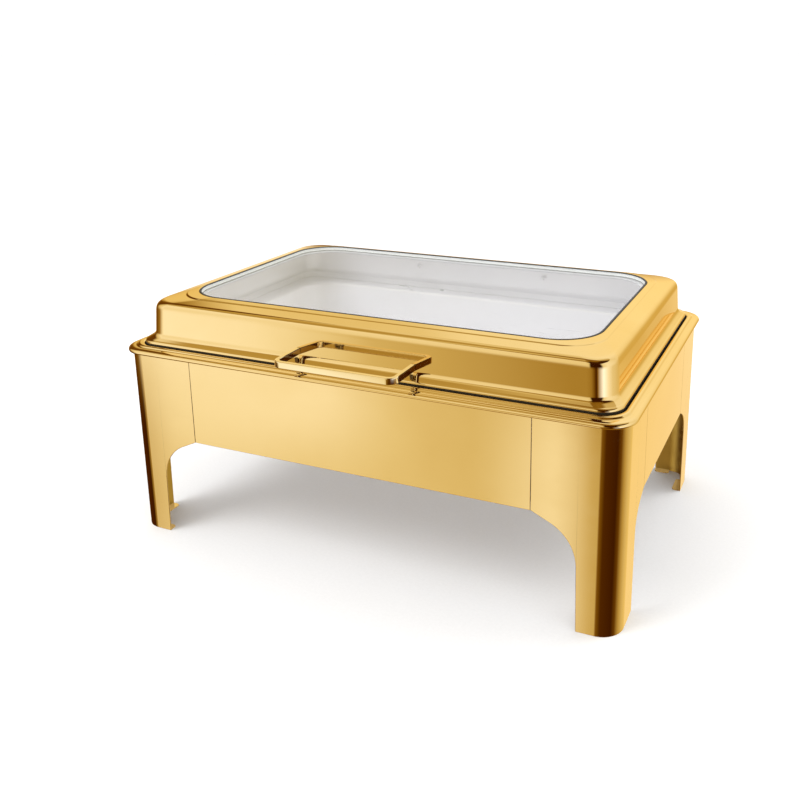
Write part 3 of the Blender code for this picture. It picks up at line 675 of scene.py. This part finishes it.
def make_food_pan():
    """Food pan, drawn from its own outer edge instead of the stand's."""
    path = fillet([(d * MM, FOOD_RIM_LOW + z * MM, r * MM) for d, z, r in FOOD_STEPS], PAN_FILLET)
    profile = path[::-1] + thicken(path, PAN_SHEET)
    half = (FOOD_HALF_X, FOOD_HALF_Y)
    pan = loft("serving_pan", profile, [STEEL_PAN], lambda i: 0, half, floor=True)
    place(pan, "stand", "satin_steel", "food_pan")


# ---- lid ----------------------------------------------------------------------------------------
def ring_radius(inset):
    """Corner radius of the lid's sloping top ring, growing from the shoulder to the window."""
    share = (inset - SHOULDER_INSET) / (WINDOW_INSET - SHOULDER_INSET)
    return LID_WALL_R + (WINDOW_R - LID_WALL_R) * max(share, 0)


# Outer face of the lid from its flange to the window, in millimetres: (inset, height).
LID_FLANGE = [(-10.6, 228.9), (-10.6, 236.4), (-10.9, 237.5), (-11.8, 238.4), (-12.9, 239.0),
              (-16.4, 241.9), (-17.6, 243.2), (-18.4, 244.8), (-18.9, 246.4)]
LID_WALL = [(-20.6, 274.2), (-21.2, 277.4), (-22.5, 280.2), (-24.6, 282.2), (-27.2, 283.4)]
LID_RING = [(-41.0, 286.6), (-41.9, 287.5), (-48.4, 289.0), (-49.1, 288.9), (-49.4, 288.3),
            (-49.4, 283.2)]
LID_STEP_AT = -14.5
LID_FILLET = 0.003
RETAINER_PATH = [(-33.0, 283.4), (-40.4, 284.9), (-46.6, 282.8), (-54.0, 282.8)]
RETAINER_FILLET = 0.002


def make_lid_shell():
    """Pressed lid in one sheet: flange, wall, shoulder and the sloping ring round the window."""
    path = []
    for d, z in LID_FLANGE:
        radius = LID_FLANGE_R if d > LID_STEP_AT else LID_WALL_R
        path.append((d * MM, z * MM, radius))
    for d, z in LID_WALL + LID_RING:
        path.append((d * MM, z * MM, ring_radius(d * MM)))
    path = fillet(path, LID_FILLET)
    profile = path + thicken(path, PAN_SHEET)[::-1]
    looks = []
    for strip, (inset, z, radius) in enumerate(profile):
        outside = strip < len(path)
        # The flange's outer face below the gutter's top gets the near-black painted shade.
        looks.append(2 if outside and z < GUTTER_PAINTED_SHADE_TOP else 0 if outside else 1)
    lid = loft("lid_cover", profile, [GOLD_LID, STEEL_LID, GOLD_GUTTER_PAINTED_SHADE], lambda i: looks[i])
    place(lid, "lid", "gold_lid", "lid_shell")


def make_window():
    """Glass pane, its rubber channel and the steel ring that holds both from below."""
    pane_r = WINDOW_R + GLASS_INSET - WINDOW_INSET
    edge = GLASS_EDGE_R
    pane = [(GLASS_INSET - 4 * edge, GLASS_LOW, pane_r - 4 * edge)]
    for step in range(GLASS_EDGE_STEPS + 1):
        turn = math.pi / 2 * step / GLASS_EDGE_STEPS
        pull = edge * (1 - math.sin(turn))
        pane.append((GLASS_INSET - pull, GLASS_LOW + edge * (1 - math.cos(turn)), pane_r - pull))
    pane += [(inset, GLASS_LOW + GLASS_HIGH - z, radius) for inset, z, radius in pane[::-1]]
    last_edge = len(pane) - 3
    glass = loft("lid_glass", pane, [GLASS, GLASS_EDGE], lambda i: int(0 < i <= last_edge), floor=True)
    place(glass, "lid", "glass", "window_glass")

    outer = WINDOW_INSET - GAP
    web = GLASS_INSET + GAP
    lip = GLASS_INSET - 0.5 * MM
    foot = GLASS_INSET - 0.8 * MM
    base = GLASS_LOW - 1.1 * MM
    top = GLASS_HIGH + 0.9 * MM
    channel = [(outer, base), (outer, top - 0.2 * MM), (outer - edge, top), (lip, top),
               (lip, GLASS_HIGH + GAP), (web, GLASS_HIGH + GAP), (web, GLASS_LOW - GAP),
               (foot, GLASS_LOW - GAP), (foot, base)]
    rounded = fillet([(d, z, 0) for d, z in channel], 0.35 * MM, 3, closed=True)
    seal = [(d, z, WINDOW_R + d - WINDOW_INSET) for d, z, _ in rounded]
    place(loft("lid_gasket", seal, [RUBBER], lambda i: 0), "lid", "black_rubber", "window_gasket")

    holder = [(d * MM, z * MM, ring_radius(d * MM)) for d, z in RETAINER_PATH]
    path = fillet(holder, RETAINER_FILLET)
    ring = loft("lid_retainer", path + thicken(path, RETAINER_SHEET)[::-1], [STEEL_LID], lambda i: 0)
    place(ring, "lid", "satin_steel", "window_retainer")


# ---- handle -------------------------------------------------------------------------------------
def bar_section():
    """Cross-section of the handle bar with rounded edges: (across, up)."""
    points = []
    wide = HANDLE_WIDE / 2 - HANDLE_EDGE_R
    high = HANDLE_HIGH / 2 - HANDLE_EDGE_R
    for sign_a, sign_b, start in ((1, 1, 0), (-1, 1, 90), (-1, -1, 180), (1, -1, 270)):
        points += arc(sign_a * wide, sign_b * high, HANDLE_EDGE_R, start, start + 90, 5)
    return points


def make_handle():
    """U-shaped handle: the bar's section carried along its path from wall to wall."""
    bend = HANDLE_BEND_R
    corner_x = HANDLE_ARM_X - bend
    corner_y = HANDLE_FRONT_Y + bend
    path = [((-HANDLE_ARM_X, HANDLE_WALL_Y), (-1, 0))]
    for side, start in ((-1, 180), (1, 270)):
        for x, y in arc(side * corner_x, corner_y, bend, start, start + 90, 16):
            normal = ((x - side * corner_x) / bend, (y - corner_y) / bend)
            path.append(((x, y), normal))
    path.append(((HANDLE_ARM_X, HANDLE_WALL_Y), (1, 0)))
    bm = bmesh.new()
    rings = []
    for (x, y), (nx, ny) in path:
        ring = []
        for across, up in bar_section():
            ring.append(bm.verts.new((x + nx * across, y + ny * across, HANDLE_Z + up)))
        rings.append(ring)
    bm.faces.new(rings[0])
    bm.faces.new(rings[-1])
    count = len(rings[0])
    for near, far in zip(rings, rings[1:]):
        for i in range(count):
            j = (i + 1) % count
            bm.faces.new((near[i], near[j], far[j], far[i]))
    grip = finish_mesh("lid_grip", bm, [GOLD_PARTS], HANDLE_SHARP)
    place(grip, "lid", "gold_lid", "lid_handle")


# ---- fasteners ----------------------------------------------------------------------------------
def button_screw(face, tip, shank, head_r, head_h):
    """Profile of a button-head socket screw from its socket to its tip; the head stands on face."""
    socket = [(0.30, 0), (0.30, 0.42, "hex"), (1.0, 0.46, "hex")]
    dome = [(1.0, 0.62), (0.93, 0.74), (0.75, 0.87), (0.45, 0.97), (0.2, 1.0), (0, 1.0)]
    head = [(face + head_h * up, head_r * out, *kind) for up, out, *kind in socket + dome]
    point = 0.3 * MM
    return head + [(face, shank), (tip + point, shank), (tip, shank - point), (tip, 0)]


def cap_nut(face):
    """Profile of a domed hexagon nut in front of the plane y = face, hollow for its screw."""
    flat = NUT_FLAT
    hole = SCREW_HOLE_R
    dome = [(face - 5.4 * MM, 0), (face - 5.3 * MM, 0.8 * MM), (face - 5.0 * MM, 1.5 * MM),
            (face - 4.4 * MM, 2.2 * MM), (face - 3.6 * MM, 2.75 * MM), (face - 2.9 * MM, 3.0 * MM)]
    body = [(face - 2.7 * MM, flat * 0.97, "hex"), (face - 2.5 * MM, flat, "hex"),
            (face - 0.3 * MM, flat, "hex"), (face, flat * 0.96, "hex")]
    return dome + body + [(face, hole), (face - 3.2 * MM, hole), (face - 3.4 * MM, 0)]


def add_screw_and_nut(piece, node, label, spot, screw_face, screw_long, nut_face, body):
    """One of the hinge's screws with its cap nut, each standing in for its CAD node."""
    tip = screw_face - screw_long
    profile = button_screw(screw_face, tip, SCREW_R, SCREW_HEAD_R, SCREW_HEAD_HIGH)
    screw = turned(piece + "_bolt_" + label, profile, "Y", spot, STEEL_TURNED)
    place(screw, body, "fasteners", node + "_screw_" + label)
    nut = turned(piece + "_cap_nut_" + label, cap_nut(nut_face), "Y", spot, STEEL_TURNED)
    place(nut, body, "fasteners", node + "_nut_" + label)


def make_fasteners():
    """Screws and nuts of the hinge, the handle's screws and the round heads on the lid's flange."""
    base_face = HALF_Y + BASE_THICK + 2 * GAP
    top = FLANGE_SCREW_TOP
    knob = [(top - FLANGE_SCREW_LONG, 0), (top - FLANGE_SCREW_LONG, FLANGE_SCREW_R),
            (top, FLANGE_SCREW_R), (top, 1.9 * MM), (top + 0.2 * MM, 2.1 * MM),
            (top + 1.1 * MM, 2.1 * MM), (top + 1.5 * MM, 1.9 * MM), (top + 1.8 * MM, 1.4 * MM),
            (top + 1.95 * MM, 0.7 * MM), (top + 2.0 * MM, 0)]
    grip = button_screw(HANDLE_SCREW_HEAD_Y, HANDLE_WALL_Y - HANDLE_SCREW_REACH, HANDLE_SCREW_R,
                        HANDLE_SCREW_HEAD_R, HANDLE_SCREW_HEAD_HIGH)
    for sign, side in ((-1, "left"), (1, "right")):
        add_screw_and_nut("hinge_arm", "arm", side, (sign * ARM_SCREW_X, ARM_SCREW_Z),
                          ARM_SCREW_FACE, ARM_SCREW_LONG, ARM_NUT_FACE, "lid")
        for z, level in zip(BASE_SCREW_Z, ("lower", "upper")):
            add_screw_and_nut("hinge", "base", level + "_" + side, (sign * BASE_SCREW_X, z),
                              base_face, BASE_SCREW_LONG, HALF_Y - SHEET - GAP, "stand")
        piece = turned("grip_bolt_" + side, grip, "Y", (sign * HANDLE_ARM_X, HANDLE_Z), STEEL_TURNED)
        place(piece, "lid", "fasteners", "handle_screw_" + side)
        spot = (sign * HANDLE_ARM_X, FLANGE_SCREW_Y)
        # The knob's gold dome is darkened as a painted dark reflection.
        piece = turned("flange_bolt_" + side, knob, "Z", spot, GOLD_HEADS_PAINTED_REFLECTION)
        place(piece, "lid", "gold_lid", "flange_screw_" + side)


# ---- hinge --------------------------------------------------------------------------------------
def rounded_outline(points, reach, steps=3):
    """A closed outline with its corners rounded."""
    corners = [(a, b, 0) for a, b in points]
    return [(a, b) for a, b, _ in fillet(corners, reach, steps, closed=True)]


def make_hinge_base():
    """Bracket on the rear panel that passes behind the rim and carries the hinge barrel."""
    plate = HALF_Y + GAP
    thick = BASE_THICK
    back = BASE_BACK_Y
    lug = HINGE_Z - SHAFT_R
    under = HINGE_Z - BARREL_R
    strip = [
        (plate, BASE_LOW), (plate, BASE_SHELF), (back - thick, BASE_SHELF), (back - thick, lug),
        (back + BASE_LUG, lug), (back + BASE_LUG, under + MM), (back, under - MM / 2),
        (back, BASE_SHELF - thick), (plate + thick, BASE_SHELF - thick), (plate + thick, BASE_LOW),
    ]
    bm = bmesh.new()
    prism(bm, rounded_outline(strip, 0.9 * MM), "X", -BARREL_HALF, BARREL_HALF)
    bracket = finish_mesh("hinge_bracket_strip", bm, [GOLD_PARTS], SHARP, EDGE_BEVEL)
    place(bracket, "stand", "gold_sheet", "hinge_base")
    edge = 0.5 * MM
    bore = BARREL_BORE_R
    tube = [
        (-BARREL_HALF, bore + edge), (-BARREL_HALF, BARREL_R - edge),
        (-BARREL_HALF + edge, BARREL_R), (BARREL_HALF - edge, BARREL_R),
        (BARREL_HALF, BARREL_R - edge), (BARREL_HALF, bore + edge),
        (BARREL_HALF - edge, bore), (-BARREL_HALF + edge, bore),
    ]
    barrel = turned("hinge_barrel", tube, "X", (HINGE_Y, HINGE_Z), GOLD_PARTS, BARREL_SHARP)
    place(barrel, "stand", "gold_sheet", "hinge_base")


def make_hinge_core():
    """Damper and bushes inside the barrel, and the shaft that turns with the lid."""
    centre = (HINGE_Y, HINGE_Z)
    outer = BARREL_BORE_R - GAP
    bore = SHAFT_R + GAP
    bush_in = BARREL_HALF - BUSH_LONG
    reach = bush_in - GAP
    tip = 0.4 * MM
    cartridge = [(-reach, bore), (-reach, outer - tip), (-reach + tip, outer), (reach - tip, outer),
                 (reach, outer - tip), (reach, bore)]
    piece = turned("hinge_damper", cartridge, "X", centre, STEEL_TURNED)
    place(piece, "stand", "fasteners", "damper_cartridge")
    collar = BARREL_HALF + GAP
    lip = collar + BUSH_COLLAR
    soft = 0.3 * MM
    bush = [(bush_in, bore), (bush_in, outer), (collar, outer), (collar, BARREL_R - soft),
            (collar + soft, BARREL_R), (lip - soft, BARREL_R), (lip, BARREL_R - soft), (lip, bore)]
    for sign, side in ((-1, "left"), (1, "right")):
        piece = turned("hinge_collar_" + side, [(sign * a, r) for a, r in bush], "X", centre, NYLON)
        place(piece, "stand", "black_nylon", "hinge_bush_" + side)
    end = ARM_OUT + SHAFT_PAST_ARM
    half = [(end - 0.6 * MM, SHAFT_R), (end - 0.2 * MM, SHAFT_R - 0.2 * MM),
            (end, SHAFT_R - 0.6 * MM), (end, 0)]
    shaft = [(-along, radius) for along, radius in half[::-1]] + half
    piece = turned("hinge_pin", shaft, "X", centre, STEEL_TURNED)
    place(piece, "lid", "fasteners", "hinge_shaft")


def arm_outline():
    """Side view of a hinge arm: a plate against the lid's rear wall and a lever to the knuckle."""
    wall_low = (HALF_Y - 0.0184, 0.2464)
    wall_high = (HALF_Y - 0.0199, 0.2715)
    plate = [(wall_high[0] + ARM_THICK, wall_high[1]), wall_high, wall_low]
    lever_low = [(HALF_Y - 0.0085, 0.2432), (HALF_Y + 0.0130, 0.2392)]
    knuckle = arc(HINGE_Y, HINGE_Z, ARM_KNUCKLE_R, -155, 120, 36)
    lever_high = [(HALF_Y - 0.0105, 0.2500), (HALF_Y - 0.0145, 0.2512), (HALF_Y - 0.0165, 0.2540)]
    return plate + lever_low + knuckle + lever_high


def make_hinge_arms():
    """Two arms from the lid to the shaft, with the holes for the shaft and for their screws."""
    clear = 0.010
    outline = rounded_outline(arm_outline(), 0.7 * MM, 2)
    for sign, side in ((-1, "left"), (1, "right")):
        ends = sorted((sign * ARM_IN, sign * ARM_OUT))
        bm = bmesh.new()
        prism(bm, outline, "X", *ends)
        arm = finish_mesh("hinge_lever_" + side, bm, [GOLD_PARTS], SHARP, EDGE_BEVEL)
        holes = bmesh.new()
        shaft_hole = circle(HINGE_Y, HINGE_Z, SHAFT_R + GAP)
        prism(holes, shaft_hole, "X", ends[0] - clear, ends[1] + clear)
        screw_hole = circle(sign * ARM_SCREW_X, ARM_SCREW_Z, SCREW_HOLE_R)
        prism(holes, screw_hole, "Y", HALF_Y - 0.028, HALF_Y - 0.010)
        cut(arm, holes)
        place(arm, "lid", "gold_lid", "hinge_arm_" + side)


def dress_cad_nodes():
    """The hidden straps and the top frame keep their CAD shape under a satin finish."""
    for name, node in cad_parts.items():
        if name.startswith("strap_") or name == "stand_top_frame":
            node.data.materials.clear()
            node.data.materials.append(STEEL_FRAME)


# ---- studio -------------------------------------------------------------------------------------
FLOOR_REACH = 60.0
FLOOR_DARK = (0.90, 0.90, 0.90)
FLOOR_LIGHT = (0.93, 0.93, 0.93)


def make_floor():
    """White paper floor that the polished surfaces don't mirror."""
    bm = bmesh.new()
    bmesh.ops.create_grid(bm, x_segments=1, y_segments=1, size=FLOOR_REACH)
    mesh = bpy.data.meshes.new("studio_floor")
    bm.to_mesh(mesh)
    bm.free()
    floor = bpy.data.objects.new("studio_floor", mesh)
    bpy.context.scene.collection.objects.link(floor)
    nodes = Nodes("studio_floor_paper")
    grain = nodes.noise(nodes.place, 300.0, 3.0)
    paper = nodes.ramp(grain, ((0.3, FLOOR_DARK), (0.7, FLOOR_LIGHT)))
    nodes.link(paper, nodes.shader.inputs["Base Color"])
    nodes.shader.inputs["Roughness"].default_value = 0.9
    nodes.shader.inputs["Specular IOR Level"].default_value = 0.1
    mesh.materials.append(nodes.material)
    floor.visible_glossy = False


# What the polished surfaces mirror: bands of cards round the object, each given as stops of
# (compass angle from the front towards the right, brightness). A band covers a range of heights,
# and a height is the sine of the mirrored direction's elevation. The brightnesses were listed from
# tones read off the photo in the directions that its surfaces mirror, then adjusted by comparing
# renders with it, so the match in tone from the photo's side is a fit and says little of the gold.
DEEP_STOPS = (
    (-180, 0.60), (-173, 0.12), (-150, 0.05), (-105, 0.04), (-62, 0.03), (-47, 0.36), (-42, 0.83),
    (-33, 0.84), (-28, 0.76), (-22, 0.70), (-16.5, 0.98), (-14.2, 0.58), (-7, 0.16), (12, 0.05),
    (65, 0.03), (84, 0.10), (106, 0.44), (130, 0.66), (160, 0.80), (172, 0.92), (180, 0.60),
)
LOW_STOPS = (
    (-180, 0.60), (-173, 0.12), (-150, 0.05), (-105, 0.04), (-62, 0.03), (-47, 0.40), (-42, 0.95),
    (-33, 1.03), (-28, 0.80), (-22, 0.66), (-16.5, 0.90), (-14.2, 0.45), (-7, 0.16), (12, 0.05),
    (65, 0.03), (84, 0.12), (106, 0.50), (130, 0.66), (160, 0.80), (172, 0.92), (180, 0.60),
)
MID_STOPS = (
    (-180, 0.98), (-171, 0.50), (-163, 0.22), (-148, 0.15), (-145, 0.92), (-138.5, 0.86),
    (-136.5, 0.55), (-128, 0.42), (-100, 0.10), (-70, 0.30), (-48, 1.00), (-41, 1.08), (-35, 0.97),
    (-31, 0.82), (-28, 0.64), (-24, 0.56), (-16, 0.36), (4, 0.30), (18, 0.13), (24, 0.05),
    (29, 0.05), (33, 0.22), (58, 1.30), (80, 1.02), (104, 0.80), (150, 0.68), (166, 0.60),
    (171, 0.98), (180, 0.98),
)
HIGH_STOPS = (
    (-180, 1.0), (-158, 0.95), (-150, 0.92), (-147, 0.80), (-142, 0.78), (-133, 0.80),
    (-131.5, 0.50), (-129, 0.12), (-105, 0.08), (-92, 0.70), (-60, 1.0), (-20, 0.85), (-4, 0.75),
    (4, 0.02), (50, 0.02), (60, 0.85), (80, 1.0), (140, 0.85), (180, 1.0),
)
UPPER_STOPS = (
    (-180, 0.90), (-154, 0.87), (-146, 0.71), (-139, 0.74), (-133, 0.84), (-124, 0.58),
    (-114, 0.48), (-80, 0.42), (-62, 0.42), (-52, 0.62), (-42, 0.66), (-34, 0.36), (-20, 0.30),
    (0, 0.03), (120, 0.03), (145, 0.50), (180, 0.90),
)
ZENITH_STOPS = ((-180, 0.22), (0, 0.18), (180, 0.22))
NADIR_STOPS = ((-180, 0.30), (0, 0.20), (180, 0.30))
# Heights between which one band fades into the next.
NADIR_TO_DEEP = (-0.86, -0.66)
DEEP_TO_LOW = (-0.45, -0.36)
LOW_TO_MID = (-0.38, -0.25)
MID_TO_HIGH = (-0.12, 0.30)
HIGH_TO_UPPER = (0.748, 0.764)
UPPER_TO_ZENITH = (0.93, 0.98)
# Exponents of a stop's brightness for red, green and blue.
TONE_POWERS = (0.86, 1.25, 2.59)
WHITE = (0.93, 0.93, 0.93, 1.0)
WORLD_STRENGTH = 1.21


def grey_ramp(tree, value, stops):
    """Brightness along a ramp of (position, brightness); the darker a stop, the browner it is."""
    node = tree.nodes.new("ShaderNodeValToRGB")
    ramp = node.color_ramp
    for _ in range(len(stops) - 2):
        ramp.elements.new(0.5)
    for element, (at, grey) in zip(ramp.elements, stops):
        element.position = at
        element.color = (*(grey ** power for power in TONE_POWERS), 1.0)
    tree.links.new(value, node.inputs["Fac"])
    return node.outputs["Color"]


def around(stops):
    """Stops by compass angle, -180 to 180 from the front towards the right, as ramp positions."""
    return [((angle + 180) / 360, grey) for angle, grey in stops]


def make_world():
    """Plain white surroundings, with soft grey cards that only the polished surfaces mirror."""
    world = bpy.data.worlds.new("studio")
    bpy.context.scene.world = world
    world.use_nodes = True
    tree = world.node_tree
    background = tree.nodes["Background"]
    direction = tree.nodes.new("ShaderNodeTexCoord").outputs["Generated"]
    split = tree.nodes.new("ShaderNodeSeparateXYZ")
    tree.links.new(direction, split.inputs["Vector"])

    def maths(operation, *inputs):
        node = tree.nodes.new("ShaderNodeMath")
        node.operation = operation
        for socket, value in zip(node.inputs, inputs):
            if isinstance(value, (int, float)):
                socket.default_value = value
            else:
                tree.links.new(value, socket)
        return node.outputs["Value"]

    def blend(share, first, second):
        node = tree.nodes.new("ShaderNodeMix")
        node.data_type = "RGBA"
        tree.links.new(share, node.inputs["Factor"])
        tree.links.new(first, node.inputs["A"])
        tree.links.new(second, node.inputs["B"])
        return node.outputs["Result"]

    def change(heights, below, above):
        node = tree.nodes.new("ShaderNodeMapRange")
        node.interpolation_type = "SMOOTHSTEP"
        node.inputs["From Min"].default_value = heights[0]
        node.inputs["From Max"].default_value = heights[1]
        tree.links.new(z, node.inputs["Value"])
        return blend(node.outputs["Result"], below, above)

    x, y, z = split.outputs
    turn = maths("ARCTAN2", x, maths("MULTIPLY", y, -1.0))
    compass = maths("ADD", maths("DIVIDE", turn, 2 * math.pi), 0.5)
    mirrored = grey_ramp(tree, compass, around(DEEP_STOPS))
    for heights, stops in (
        (DEEP_TO_LOW, LOW_STOPS),
        (LOW_TO_MID, MID_STOPS),
        (MID_TO_HIGH, HIGH_STOPS),
        (HIGH_TO_UPPER, UPPER_STOPS),
        (UPPER_TO_ZENITH, ZENITH_STOPS),
    ):
        mirrored = change(heights, mirrored, grey_ramp(tree, compass, around(stops)))
    below = grey_ramp(tree, compass, around(NADIR_STOPS))
    mirrored = change(NADIR_TO_DEEP, below, mirrored)
    white = tree.nodes.new("ShaderNodeRGB").outputs["Color"]
    white.default_value = WHITE
    glossy = tree.nodes.new("ShaderNodeLightPath").outputs["Is Glossy Ray"]
    tree.links.new(blend(glossy, white, mirrored), background.inputs["Color"])
    background.inputs["Strength"].default_value = WORLD_STRENGTH


LAMPS_AIM = (0, 0, 0.2)
KEY_AT = (-1.2, -1.6, 2.2)
KEY_SIZE = 1.6
KEY_POWER = 30.0
FILL_AT = (1.8, 1.2, 2.0)
FILL_SIZE = 1.8
FILL_POWER = 18.0


def make_light(name, place_at, size, power):
    """Round soft lamp that lights the object but isn't mirrored in it."""
    data = bpy.data.lights.new(name, "AREA")
    data.shape = "DISK"
    data.size = size
    data.energy = power
    lamp = bpy.data.objects.new(name, data)
    lamp.location = place_at
    towards = Vector(LAMPS_AIM) - Vector(place_at)
    lamp.rotation_euler = towards.to_track_quat("-Z", "Y").to_euler()
    lamp.visible_glossy = False
    bpy.context.scene.collection.objects.link(lamp)


CAMERA_AT = (0.4669, -0.9745, 0.5733)
CAMERA_AZIMUTH = math.radians(23.373)
CAMERA_ELEVATION = math.radians(14.925)
CAMERA_ROLL = math.radians(-0.328)
CAMERA_LENS = 40.84155
CAMERA_SHIFT = (-0.075, -0.14175)


def make_camera():
    """Camera with a shifted lens, looking down at the object from its front right."""
    away = math.cos(CAMERA_ELEVATION)
    back = Vector((math.sin(CAMERA_AZIMUTH) * away, -math.cos(CAMERA_AZIMUTH) * away,
                   math.sin(CAMERA_ELEVATION)))
    data = bpy.data.cameras.new("studio_camera")
    data.sensor_width = 36.0
    data.lens = CAMERA_LENS
    data.shift_x, data.shift_y = CAMERA_SHIFT
    camera = bpy.data.objects.new("studio_camera", data)
    camera.location = CAMERA_AT
    level = (-back).to_track_quat("-Z", "Y").to_matrix()
    camera.rotation_euler = (Matrix.Rotation(CAMERA_ROLL, 3, back) @ level).to_euler()
    bpy.context.scene.collection.objects.link(camera)
    bpy.context.scene.camera = camera


# ---- all of it ----------------------------------------------------------------------------------
for leg_x in (-1, 1):
    for leg_y in (-1, 1):
        make_leg(leg_x, leg_y)
make_aprons()
make_water_pan()
make_food_pan()
make_lid_shell()
make_window()
make_handle()
make_fasteners()
make_hinge_base()
make_hinge_core()
make_hinge_arms()
dress_cad_nodes()

make_floor()
make_world()
make_light("key_softbox", KEY_AT, KEY_SIZE, KEY_POWER)
make_light("fill_softbox", FILL_AT, FILL_SIZE, FILL_POWER)
make_camera()
bpy.context.scene.view_settings.view_transform = "Standard"

bpy.context.view_layer.update()
